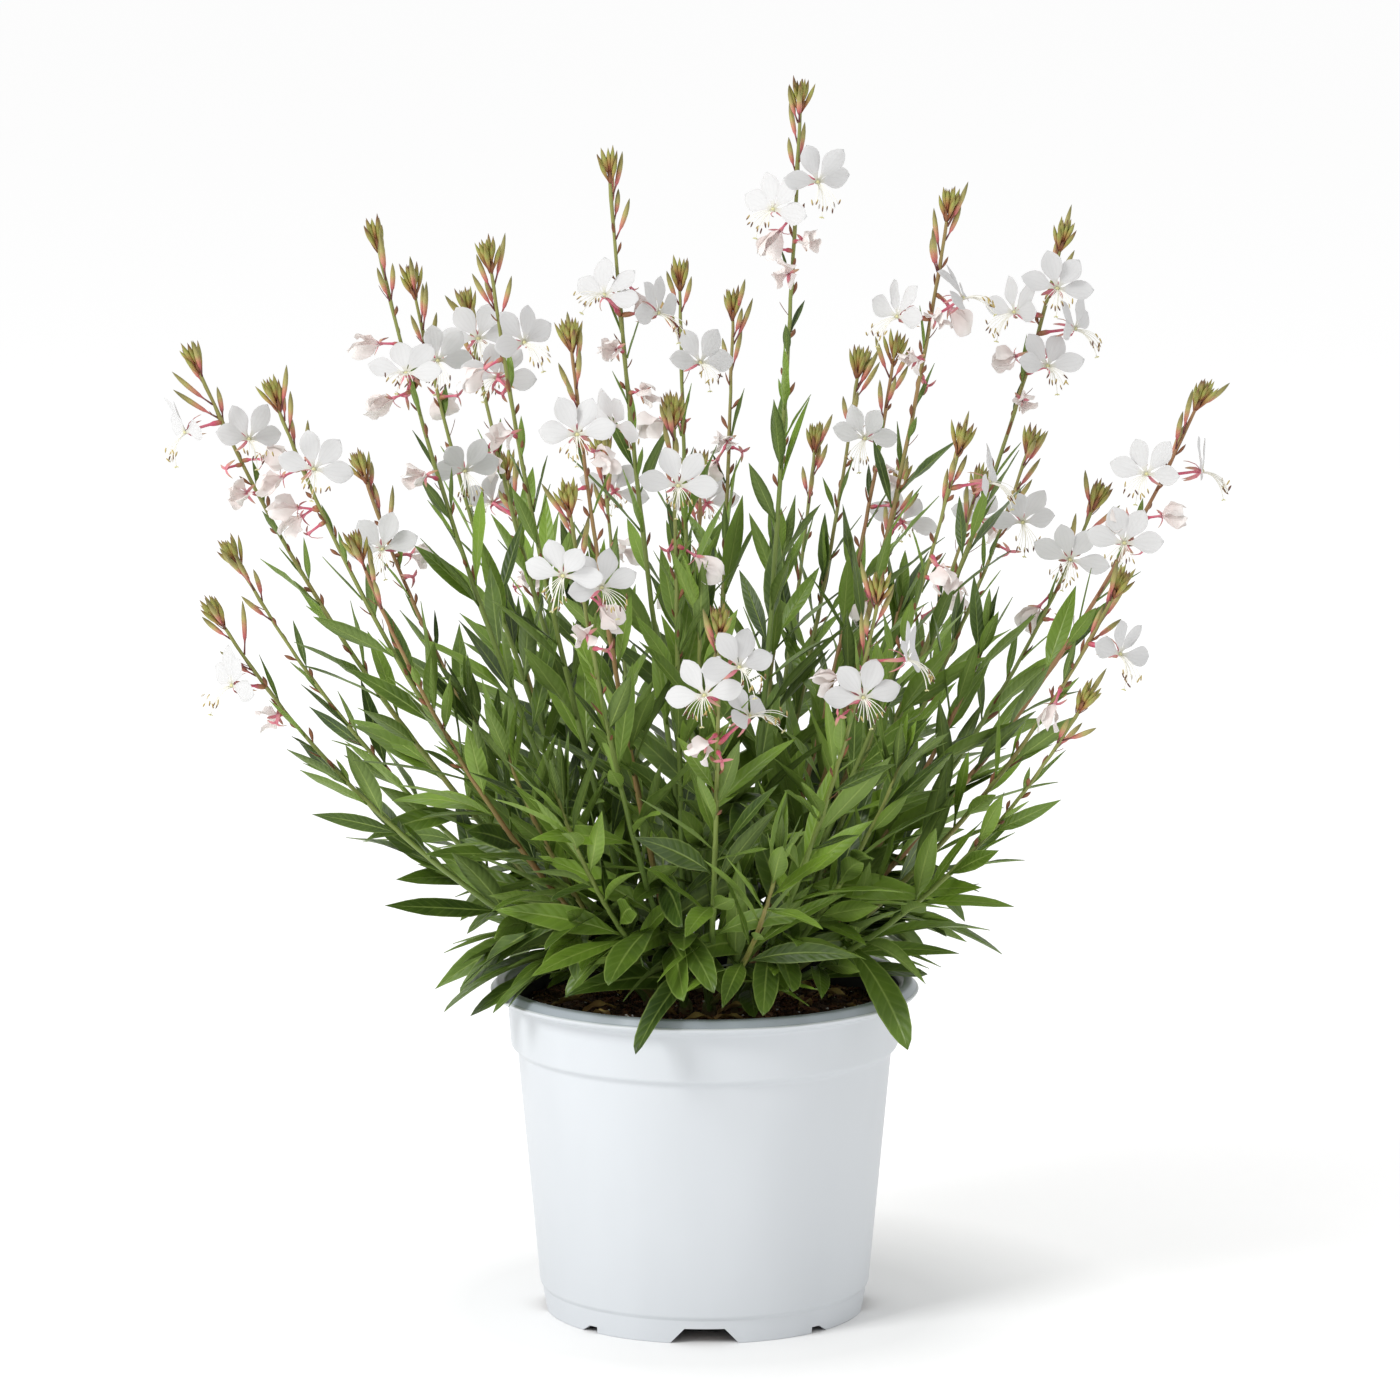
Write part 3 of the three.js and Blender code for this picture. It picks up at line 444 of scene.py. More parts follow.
@dataclass(frozen=True)
class Finish:
    """A plain finish of one colour; kinds of it paint a pattern over the surface."""

    name: str
    colour: str = "808080"
    roughness: float = 0.5
    specular: float = 0.5
    bump: float = 0.0
    soak: float = 0.0
    soak_depth: float = 2 * MM

    def paint(self, board: Board) -> Any:
        """The surface's colour."""
        return shade(self.colour)

    def gloss(self, board: Board) -> Any:
        """The surface's roughness."""
        return self.roughness

    def relief(self, board: Board) -> Link | None:
        """The height that the bump reads, or None."""
        return None

    def extras(self, board: Board) -> dict[str, Any]:
        """Further sockets of the surface: light that soaks in a little."""
        if not self.soak:
            return {}
        even = (1.0, 1.0, 1.0)
        return {"Subsurface Weight": self.soak, "Subsurface Radius": even, "Subsurface Scale": self.soak_depth}

    def material(self) -> bpy.types.Material:
        """The finish as a material, made once."""
        made = bpy.data.materials.get(self.name)
        if made:
            return made
        made = bpy.data.materials.new(self.name)
        made.use_nodes = True
        made.node_tree.nodes.clear()
        board = Board(made.node_tree)
        sockets = {
            "Base Color": self.paint(board),
            "Roughness": self.gloss(board),
            "Specular IOR Level": self.specular,
            **self.extras(board),
        }
        height = self.relief(board)
        if height is not None:
            bump = {"Height": height, "Strength": self.bump, "Distance": MM}
            sockets["Normal"] = board.node("ShaderNodeBump", {}, bump)
        skin = board.node("ShaderNodeBsdfPrincipled", {}, sockets)
        board.node("ShaderNodeOutputMaterial", {}, {"Surface": skin})
        return made


@dataclass(frozen=True)
class PotPlastic(Finish):
    """Pale satin plastic with the faint cloudiness of a moulding."""

    def paint(self, board: Board) -> Link:
        """A cool white, a little uneven."""
        cloud = board.grain(18.0, 3.0, (1.0, 1.0, 0.35))
        return board.ramp(cloud, (0.3, "c8ccd0"), (0.7, "ced2d6"))

    def relief(self, board: Board) -> Link:
        """A faint unevenness of the wall."""
        return board.grain(40.0, 2.0)


@dataclass(frozen=True)
class SoilFinish(Finish):
    """Damp potting mix: near-black brown with tan and reddish flecks."""

    light: str = "5b4230"
    pale: str = "7d5a3f"
    scale: float = 260.0

    def paint(self, board: Board) -> Link:
        """Browns that change from crumb to crumb."""
        patch = board.grain(self.scale, 4.0)
        return board.ramp(patch, (0.34, self.colour), (0.56, self.light), (0.72, self.pale))

    def relief(self, board: Board) -> Link:
        """Crumbs too small to be shapes."""
        return board.grain(900.0, 4.0)


@dataclass(frozen=True)
class FloorFinish(Finish):
    """Matt white with a little painted glow, which brightens the floor away from the pot and leaves painted shade
    round the pot's foot.
    """

    painted_glow: float = 0.265
    near: float = 0.105
    far: float = 0.2

    def extras(self, board: Board) -> dict[str, Any]:
        """The painted glow, which grows with the distance from the middle, so that the floor round the pot's foot
        stays darker.
        """
        away = board.node("ShaderNodeTexCoord").of("Object").call("LENGTH")
        # Share of painted glow: none round the pot's foot, full further out
        light = ((away - self.near) / (self.far - self.near)).within()
        return {
            "Emission Color": board.blend(light, (0.0, 0.0, 0.0), (1.0, 1.0, 1.0)),
            "Emission Strength": self.painted_glow,
        }


@dataclass(frozen=True)
class LeafFinish(Finish):
    """A green leaf with a pale midrib, faint side veins and a greyer underside."""

    deep: str = "2b4011"
    fresh: str = "76952f"
    rib: str = "a4b962"
    under: str = "7b9148"
    patchiness: float = 0.7
    margin: float = 0.86
    margin_share: float = 0.4
    vein_count: float = 70.0
    vein_slant: float = 9.0
    vein_share: float = 0.07
    rib_share: float = 0.85

    def _veins(self, place: Link) -> Link:
        """Waves between -1 and 1 that slant forwards from the midrib."""
        return (place.part("Y") * self.vein_count - abs(place.part("X")) * self.vein_slant).sine()

    def paint(self, board: Board) -> Link:
        """The green of one leaf, by its tone, its ribs and its side."""
        place, tone = board.stored("blade"), board.stored("shape").part("Z")
        across, along, side = (place.part(axis) for axis in "XYZ")
        pale = shade(self.rib)
        patch = board.grain(55.0) - 0.5
        green = board.blend((tone + patch * self.patchiness).within(), shade(self.deep), shade(self.fresh))
        margin = ((abs(across) - self.margin) * 7.0).within() * self.margin_share
        green = board.blend(margin, green, pale)
        veins = (self._veins(place) * 3.0 - 2.0).within() * self.vein_share
        green = board.blend(veins, green, pale)
        below = board.blend(0.5, green, shade(self.under))
        green = board.blend((-side).within(), green, below)
        rib = (1.0 - abs(across) * 9.0).within() * (1.0 - along * 0.75)
        return board.blend(rib * self.rib_share, green, pale)

    def gloss(self, board: Board) -> Link:
        """A satin upper side and a duller underside."""
        return 0.48 - board.stored("blade").part("Z") * 0.09

    def relief(self, board: Board) -> Link:
        """The midrib's groove and the side veins."""
        place = board.stored("blade")
        return (abs(place.part("X")) * 8.0).within() * 0.5 - self._veins(place) * 0.12


@dataclass(frozen=True)
class AlongFinish(Finish):
    """A finish whose colour runs from an organ's root to its tip, shifted by each organ's tone."""

    stops: tuple[tuple[float, str], ...] = ((0.1, "8f8a45"), (0.9, "7f8f3c"))
    shift: float = 0.35
    streak: float = 90.0
    blush: str = "9a5f48"
    blush_share: float = 0.0

    def paint(self, board: Board) -> Link:
        """The colour along the organ, with a blush over some of the organs."""
        along, tone = board.stored("blade").part("Y"), board.stored("shape").part("Z")
        patch = board.grain(self.streak, 2.0) - 0.5
        share = (along + (tone - 0.5) * self.shift + patch * 0.25).within()
        colour = board.ramp(share, *self.stops)
        if not self.blush_share:
            return colour
        amount = ((tone - 0.45) * 1.8 + patch * 1.2).within() * self.blush_share
        return board.blend(amount, colour, shade(self.blush))


@dataclass(frozen=True)
class PetalFinish(Finish):
    """A thin white petal, a little warm at its claw, with faint long veins."""

    claw: str = "ccc9ae"
    claw_share: float = 0.8
    vein: str = "b8b8b8"
    vein_share: float = 0.35
    vein_count: float = 16.0
    vein_bend: float = 2.0

    def _veins(self, place: Link) -> Link:
        """Waves between -1 and 1 that run the length of the petal."""
        return (place.part("X") * self.vein_count + place.part("Y") * self.vein_bend).sine()

    def paint(self, board: Board) -> Link:
        """White, with its claw and veins."""
        place = board.stored("blade")
        along = place.part("Y")
        veins = (self._veins(place) * 2.0 - 1.2).within() * self.vein_share * (1.0 - along * 0.8)
        white = board.blend(veins, shade(self.colour), shade(self.vein))
        return board.blend((1.0 - along * 4.0).within() * self.claw_share, white, shade(self.claw))

    def relief(self, board: Board) -> Link:
        """Long, shallow veins."""
        return self._veins(board.stored("blade")) * 0.15


class Looks:
    """Every finish of the plant, its pot, its soil and the floor."""

    # The floor paints a glow away from the pot, with painted shade round the pot's foot
    floor = FloorFinish("floor_white", "f2f2f2", roughness=0.95, specular=0.0)
    pot = PotPlastic("pot_plastic", roughness=0.42, bump=0.03)
    pot_rim = Finish("pot_rim", "969ea5", roughness=0.36)
    # Near-black on the pot's inner wall and floor top, and painted shade on the underside of its floor, which shows
    # through the drain notches
    pot_inside = Finish("pot_inside", "1c1d1f", roughness=0.6)
    soil = SoilFinish("potting_mix", "1f1611", roughness=0.95, bump=0.9, specular=0.2)
    crumb = SoilFinish(
        "soil_crumb", "2a1b13", roughness=0.95, specular=0.2, bump=0.5, light="4f3626", pale="765038"
    )
    bark = SoilFinish(
        "bark_chip", "4a3020", roughness=0.85, specular=0.25, bump=0.5, light="7a523a", pale="a07c5c", scale=120.0
    )
    perlite = Finish("perlite", "d9d6cf", roughness=0.9)
    leaf = LeafFinish("gaura_leaf", roughness=0.44, specular=0.42, bump=0.4)
    stem = AlongFinish(
        "gaura_stem",
        stops=((0.1, "66803a"), (0.5, "76853f"), (0.9, "868849")),
        shift=0.3,
        blush_share=0.75,
    )
    bud = AlongFinish(
        "gaura_bud",
        stops=((0.2, "713f3c"), (0.32, "bd6263"), (0.5, "bf8467"), (0.66, "a59c5c"), (0.97, "6f6a38")),
        roughness=0.48,
        shift=0.12,
    )
    head = AlongFinish(
        "gaura_head",
        stops=((0.12, "8f5335"), (0.36, "a5894a"), (0.62, "939648"), (0.86, "8a7a3c"), (0.99, "6b4a2a")),
    )
    tube = AlongFinish(
        "gaura_tube", stops=((0.1, "a2704c"), (0.35, "c04c68"), (0.95, "d5808f")), roughness=0.45, shift=0.3
    )
    sepal = AlongFinish("gaura_sepal", stops=((0.1, "cf7483"), (0.5, "cd8087"), (0.95, "b59370")), shift=0.5)
    bract = AlongFinish(
        "gaura_bract", stops=((0.1, "7c4a33"), (0.5, "8a5a3a"), (0.95, "6b4630")), roughness=0.7, shift=0.5
    )
    petal = PetalFinish("gaura_petal", "d0d0d0", roughness=0.6, specular=0.08, bump=0.08, soak=0.2)
    faded = AlongFinish(
        "gaura_faded",
        stops=((0.02, "d0949e"), (0.12, "e6d6d2"), (0.95, "ebe5e1")),
        roughness=0.6,
        shift=0.2,
        soak=0.2,
    )
    filament = Finish("gaura_filament", "f3f1e6")
    anther = AlongFinish(
        "gaura_anther", stops=((0.1, "b9a566"), (0.5, "8f7145"), (0.95, "5d3a2b")), roughness=0.8, shift=1.6
    )
    heart = Finish("gaura_heart", "cfcb98", roughness=0.6)
    crown = AlongFinish("gaura_crown", stops=((0.15, "4a3424"), (0.5, "5e4a2e"), (0.95, "66763a")), roughness=0.8)
    dry = AlongFinish(
        "dry_leaf", stops=((0.1, "7a5c34"), (0.5, "a8914f"), (0.95, "8a6a3a")), roughness=0.85, shift=0.8
    )


# Meshes


def plain_mesh(name: str, points: Any, faces: Any, edges: Any = ()) -> bpy.types.Mesh:
    """A mesh of points, in metres, and faces or edges."""
    mesh = bpy.data.meshes.new(name)
    mesh.from_pydata([tuple(map(float, p)) for p in points], list(edges), list(faces))
    return mesh


def stand(name: str, data: bpy.types.ID) -> bpy.types.Object:
    """An object that shows a mesh, a light or a camera, at the origin."""
    made = bpy.data.objects.new(name, data)
    bpy.context.scene.collection.objects.link(made)
    return made


def store(mesh: bpy.types.Mesh, name: str, values: Any, kind: str = "FLOAT_VECTOR") -> None:
    """Writes an attribute on a mesh's points."""
    data = mesh.attributes.new(name, kind, "POINT").data
    data.foreach_set("vector" if kind == "FLOAT_VECTOR" else "value", np.asarray(values, np.float32).ravel())


def bake_modifiers(piece: bpy.types.Object) -> bpy.types.Object:
    """Turns a piece's evaluated shape into its plain mesh, which keeps only what the finishes read."""
    graph = bpy.context.evaluated_depsgraph_get()
    grown = piece.evaluated_get(graph)
    mesh = bpy.data.meshes.new_from_object(grown, preserve_all_data_layers=True, depsgraph=graph)
    piece.modifiers.clear()
    piece.data = mesh
    keep = {"blade", "shape", "position", "sharp_face", "sharp_edge", "material_index"}
    for name in [a.name for a in mesh.attributes if a.name not in keep and not a.is_required and a.name[0] != "."]:
        mesh.attributes.remove(mesh.attributes[name])
    return piece


def join(name: str, parts: list[bpy.types.Object]) -> bpy.types.Object:
    """One piece made of several, with their materials and attributes."""
    first = parts[0]
    with bpy.context.temp_override(
        active_object=first, object=first, selected_objects=parts, selected_editable_objects=parts
    ):
        bpy.ops.object.join()
    first.name = first.data.name = name
    return first


@dataclass(frozen=True)
class Path:
    """A cubic Bezier path, in millimetres."""

    ends: np.ndarray

    @staticmethod
    def of(*points: np.ndarray) -> Path:
        """A path from four control points, three of a plain bend, or two ends."""
        if len(points) == 2:
            points = (points[0], mix(points[0], points[1], 0.5), points[1])
        if len(points) == 3:
            start, middle, end = points
            points = (start, mix(start, middle, 2 / 3), mix(end, middle, 2 / 3), end)
        return Path(np.array(points, float))

    def at(self, share: float) -> np.ndarray:
        """The point at a share of the path."""
        rest = 1.0 - share
        weights = (rest**3, 3 * rest * rest * share, 3 * rest * share * share, share**3)
        return np.array(weights) @ self.ends

    def tangent(self, share: float) -> np.ndarray:
        """The direction at a share of the path, from two points close by."""
        return unit(self.at(min(share + 1e-4, 1.0)) - self.at(max(share - 1e-4, 0.0)))


@dataclass
class Strand:
    """One organ laid along a path: what the growing tree reads for one copy of a form."""

    path: Path
    right: np.ndarray
    half_width: float
    thickness: float
    turn: float = 0.0
    cup: float = 0.0
    wave: float = 0.0
    tone: float = 0.5


Groups = dict[str, list[Strand]]


def cord(points: Iterable[np.ndarray], right: np.ndarray, radius: float, tone: float = 0.5) -> Strand:
    """A round organ along a path of points."""
    return Strand(Path.of(*points), right, radius, radius, tone=tone)


@dataclass(frozen=True)
class Form:
    """A closed form of rings along its middle: each ring is the section scaled by the outline's row.

    The section is (across, lift) pairs, anticlockwise as seen from the tip. A row of the outline is the share
    along, the width and the thickness. The form starts in a cap and ends in a point or a cap.
    """

    name: str
    section: tuple
    outline: tuple
    crisp: tuple = ()

    def thing(self) -> bpy.types.Object:
        """The form as a mesh that the growing tree copies."""
        made = bpy.data.objects.get(self.name)
        if made:
            return made
        count, last = len(self.section), len(self.outline) - 1
        form, blade, faces = [], [], []
        for along, width, thick in self.outline:
            for across, lift in self.section:
                form.append((across * width, along, lift * thick))
                blade.append((across, along, 1.0 if lift > 0.05 else -1.0 if lift < -0.05 else 0.0))
        for row in range(last):
            for i in range(count):
                low, nxt = row * count + i, row * count + (i + 1) % count
                faces.append((low, nxt, nxt + count, low + count))
        for row in (0, last):
            along = self.outline[row][0]
            centre = len(form)
            form.append((0.0, along, 0.0))
            blade.append((0.0, along, 0.0))
            for i in range(count):
                low, nxt = row * count + i, row * count + (i + 1) % count
                faces.append((low, nxt, centre) if row else (nxt, low, centre))
        mesh = plain_mesh(self.name, form, faces)
        store(mesh, "form", form)
        store(mesh, "blade", blade)
        for edge in mesh.edges:
            low, high = sorted(edge.vertices)
            edge.use_edge_sharp = high - low == count and low % count in self.crisp
        return stand(self.name, mesh)


def round_form(name: str, sides: int, *rows: tuple[float, float]) -> Form:
    """A form with a round section.

    Args:
        name: the form's name.
        sides: corners of its section.
        rows: the share along and the radius of each ring.

    Returns:
        The form.
    """
    turns = (2 * math.pi * i / sides for i in range(sides))
    section = tuple((math.cos(t), math.sin(t)) for t in turns)
    return Form(name, section, tuple((along, radius, radius) for along, radius in rows))


# Sections and outlines of the flat forms. A section's edges are its first and middle corners.
BLADE_SECTION = ((1, 0), (0.5, 1), (0.0, 0.3), (-0.5, 1), (-1, 0), (-0.5, -1), (0.0, -1.7), (0.5, -1))
STRAP_SECTION = ((1, 0), (0, 1), (-1, 0), (0, -1))
SLENDER_OUTLINE = (
    (0.0, 0.10, 1.6), (0.07, 0.15, 1.3), (0.16, 0.46, 1.1), (0.27, 0.82, 1.0), (0.4, 1.0, 1.0),
    (0.54, 0.98, 0.9), (0.68, 0.82, 0.9), (0.81, 0.54, 0.8), (0.92, 0.24, 0.6), (1.0, 0.01, 0.4),
)  # fmt: skip
BROAD_OUTLINE = (
    (0.0, 0.14, 1.7), (0.1, 0.2, 1.4), (0.2, 0.38, 1.2), (0.33, 0.66, 1.0), (0.45, 0.88, 1.0), (0.5, 0.91, 1.0),
    (0.6, 1.0, 0.9), (0.65, 0.97, 0.9), (0.74, 0.97, 0.9), (0.79, 0.88, 0.9), (0.88, 0.7, 0.8), (0.95, 0.42, 0.6),
    (1.0, 0.03, 0.4),
)  # fmt: skip
PETAL_OUTLINE = (
    (0.0, 0.16, 1.5), (0.1, 0.16, 1.3), (0.19, 0.27, 1.0), (0.3, 0.52, 1.0), (0.43, 0.81, 1.0), (0.56, 0.98, 0.9),
    (0.68, 0.99, 0.9), (0.8, 0.82, 0.8), (0.91, 0.49, 0.7), (1.0, 0.02, 0.5),
)  # fmt: skip
STRAP_OUTLINE = ((0, 0.5, 1), (0.15, 0.85, 1), (0.45, 1, 1), (0.75, 0.75, 1), (0.92, 0.4, 0.8), (1, 0.03, 0.4))
BUD_ROWS = ((0, 0.3), (0.14, 0.4), (0.3, 0.72), (0.46, 0.96), (0.6, 1), (0.75, 0.78), (0.89, 0.38), (1, 0.03))
STALKED_ROWS = (
    (0, 0.4), (0.22, 0.3), (0.29, 0.4), (0.36, 0.74), (0.5, 0.92), (0.66, 1), (0.8, 0.84), (0.92, 0.46), (1, 0.05),
)  # fmt: skip
TUBE_ROWS = ((0, 0.75), (0.1, 1), (0.26, 0.95), (0.38, 0.55), (0.8, 0.5), (0.93, 0.75), (1, 0.95))
GRAIN_ROWS = ((0, 0.3), (0.15, 0.8), (0.5, 1), (0.85, 0.8), (1, 0.3))


class Forms:
    """Every form that is copied along paths."""

    slender = Form("form_slender", BLADE_SECTION, SLENDER_OUTLINE, (0, 4))
    broad = Form("form_broad", BLADE_SECTION, BROAD_OUTLINE, (0, 4))
    petal = Form("form_petal", BLADE_SECTION, PETAL_OUTLINE, (0, 4))
    strap = Form("form_strap", STRAP_SECTION, STRAP_OUTLINE, (0, 2))
    bud = round_form("form_bud", 7, *BUD_ROWS)
    stalked_bud = round_form("form_stalked_bud", 7, *STALKED_ROWS)
    tube = round_form("form_tube", 7, *TUBE_ROWS)
    thread = round_form("form_thread", 5, *((i / 6, 1 - 0.04 * i) for i in range(7)))
    grain = round_form("form_grain", 6, *GRAIN_ROWS)

    @staticmethod
    def clear_away() -> None:
        """Removes the forms once every copy is a plain mesh."""
        for made in [o for o in bpy.data.objects if o.name.startswith("form_")]:
            bpy.data.objects.remove(made)


class Tree:
    """A Geometry Nodes tree with named inputs, which grows a piece into a plain mesh."""

    def __init__(self, name: str, **kinds: str) -> None:
        """Opens the tree.

        Args:
            name: the tree's name.
            kinds: the socket type of each input between the geometry and the material.
        """
        self.group = bpy.data.node_groups.new(name, "GeometryNodeTree")
        self.ids: dict[str, str] = {}
        for label, kind in {"Geometry": "Geometry", **kinds, "Material": "Material"}.items():
            made = self.group.interface.new_socket(label, in_out="INPUT", socket_type=f"NodeSocket{kind}")
            self.ids[label] = made.identifier
        self.group.interface.new_socket("Geometry", in_out="OUTPUT", socket_type="NodeSocketGeometry")
        self.board = Board(self.group)
        self.given = self.board.node("NodeGroupInput")

    def copies_of(self, name: str, points: Link, **settings: Link) -> Link:
        """Copies of the object of one input, stood on points and made real."""
        thing = self.board.node("GeometryNodeObjectInfo", {}, {"Object": self.given.of(name)}).of("Geometry")
        inputs = {"Points": points, "Instance": thing, **settings}
        copies = self.board.node("GeometryNodeInstanceOnPoints", {}, inputs)
        return self.board.node("GeometryNodeRealizeInstances", {}, {"Geometry": copies})

    def smooth(self, shape: Link) -> Link:
        """A shape with smooth shading."""
        return self.board.node("GeometryNodeSetShadeSmooth", {}, {"Geometry": shape})

    def close(self, shape: Link) -> None:
        """Gives a shape the material and hands it out as the tree's result."""
        inputs = {"Geometry": shape, "Material": self.given.of("Material")}
        self.board.node("NodeGroupOutput", {}, {"Geometry": self.board.node("GeometryNodeSetMaterial", {}, inputs)})

    def grow(self, name: str, mesh: bpy.types.Mesh, finish: Finish, **inputs: Any) -> bpy.types.Object:
        """Runs the tree on a mesh.

        Args:
            name: the piece's name.
            mesh: what the tree starts from.
            finish: the finish of the result.
            inputs: the tree's other inputs, by name.

        Returns:
            The result as one plain mesh.
        """
        piece = stand(name, mesh)
        growth = piece.modifiers.new("growth", "NODES")
        growth.node_group = self.group
        for label, value in {**inputs, "Material": finish.material()}.items():
            growth[self.ids[label]] = value
        return bake_modifiers(piece)


class PathTree(Tree):
    """Lays copies of one form along Bezier paths, one copy for each point."""

    def __init__(self) -> None:
        """Builds the tree."""
        super().__init__("lay_along_paths", Form="Object", Waves="Float")
        copies = self.copies_of("Form", self.given)
        place = self._place(self.board, self.given.of("Waves"))
        laid = self.board.node("GeometryNodeSetPosition", {}, {"Geometry": copies, "Position": place})
        self.close(self.smooth(laid))

    @staticmethod
    def _place(board: Board, waves: Link) -> Link:
        """Where each vertex of a copy goes, from its place in the form and its copy's path."""
        form = board.stored("form")
        across, along, lift = (form.part(axis) for axis in "XYZ")
        start, leave, arrive, end = (board.stored(n) for n in ("start", "leave", "arrive", "end"))
        size, bend = board.stored("size"), board.stored("shape")
        half_width, thickness, turn = (size.part(axis) for axis in "XYZ")
        rest = 1.0 - along
        middle = start * (rest * rest * rest) + leave * (3.0 * rest * rest * along)
        middle = middle + arrive * (3.0 * rest * along * along) + end * (along * along * along)
        course = (leave - start) * (rest * rest) + (arrive - leave) * (2.0 * rest * along)
        course = (course + (end - arrive) * (along * along)).call("NORMALIZE")
        given = board.stored("right")
        right = (given - course * course.call("DOT_PRODUCT", given)).call("NORMALIZE")
        top = course.call("CROSS_PRODUCT", right)
        angle = turn * along
        right = right * angle.call("COSINE") + top * angle.sine()
        top = course.call("CROSS_PRODUCT", right)
        ripple = (along * waves * math.tau + bend.part("Z") * WAVE_SHIFT).sine() * bend.part("Y") * across
        height = abs(across) * bend.part("X") * half_width + ripple * half_width + lift * thickness
        return middle + right * (across * half_width) + top * height

    def lay(
        self, name: str, strands: list[Strand], form: Form, finish: Finish, waves: float = 1.0
    ) -> bpy.types.Object:
        """Lays one copy of a form along each strand.

        Args:
            name: the piece's name.
            strands: the organs, in millimetres.
            form: what is copied.
            finish: the finish of every copy.
            waves: how many waves an edge makes.

        Returns:
            The copies as one plain mesh.
        """
        ends = np.array([s.path.ends for s in strands]) * MM
        mesh = plain_mesh(name, ends[:, 0], ())
        for i, label in enumerate(("start", "leave", "arrive", "end")):
            store(mesh, label, ends[:, i])
        store(mesh, "right", [s.right for s in strands])
        store(mesh, "size", [(s.half_width * MM, s.thickness * MM, math.radians(s.turn)) for s in strands])
        store(mesh, "shape", [(s.cup, s.wave, s.tone) for s in strands])
        return self.grow(name, mesh, finish, Form=form.thing(), Waves=waves)


class StemTree(Tree):
    """Gives lines of points a round skin of changing girth."""

    def __init__(self) -> None:
        """Builds the tree."""
        super().__init__("skin_stems", Sides="Int")
        board = self.board
        lines = board.node("GeometryNodeMeshToCurve", {}, {"Mesh": self.given})
        sides = self.given.of("Sides")
        ring = board.node("GeometryNodeCurvePrimitiveCircle", {}, {"Resolution": sides, "Radius": 1.0})
        inputs = {"Curve": lines, "Profile Curve": ring, "Scale": board.stored("girth", "FLOAT"), "Fill Caps": True}
        self.close(self.smooth(board.node("GeometryNodeCurveToMesh", {}, inputs)))

    def skin(self, name: str, lines: list[StemLine], sides: int) -> bpy.types.Object:
        """The stems' lines as one closed skin each.

        Args:
            name: the piece's name.
            lines: the stems' centre lines, in millimetres.
            sides: corners of the round section.

        Returns:
            The skins as one plain mesh.
        """
        points, edges, girth, blade, shape = [], [], [], [], []
        for line in lines:
            first = len(points)
            count = len(line.points)
            points.extend(line.points * MM)
            girth.extend(line.girths * MM)
            blade.extend((0.0, s, 0.0) for s in line.shares)
            shape.extend([(0.0, 0.0, line.tone)] * count)
            edges.extend((first + i, first + i + 1) for i in range(count - 1))
        mesh = plain_mesh(name, points, (), edges)
        store(mesh, "girth", girth, "FLOAT")
        store(mesh, "blade", blade)
        store(mesh, "shape", shape)
        return self.grow(name, mesh, Looks.stem, Sides=sides)


@dataclass
class StemLine:
    """A stem's centre line with its girth and its share of the way up."""

    points: np.ndarray
    girths: np.ndarray
    shares: np.ndarray
    tone: float


# Growth


@dataclass
class Organ:
    """What grows on a stem at one place."""

    kind: Kind
    share: float
    bearing: float
    key: float = 0.0
    lean: float = 0.0
    length: float = 0.0
    half_width: float = 0.0
    droop: float = 0.0
    twist: float = 0.0
    broad: bool = False
    pitch: float = 0.0
    reach: float = 0.0
    roll: float = 0.0
    stage: Stage = Stage.OPEN
    side: int = -1


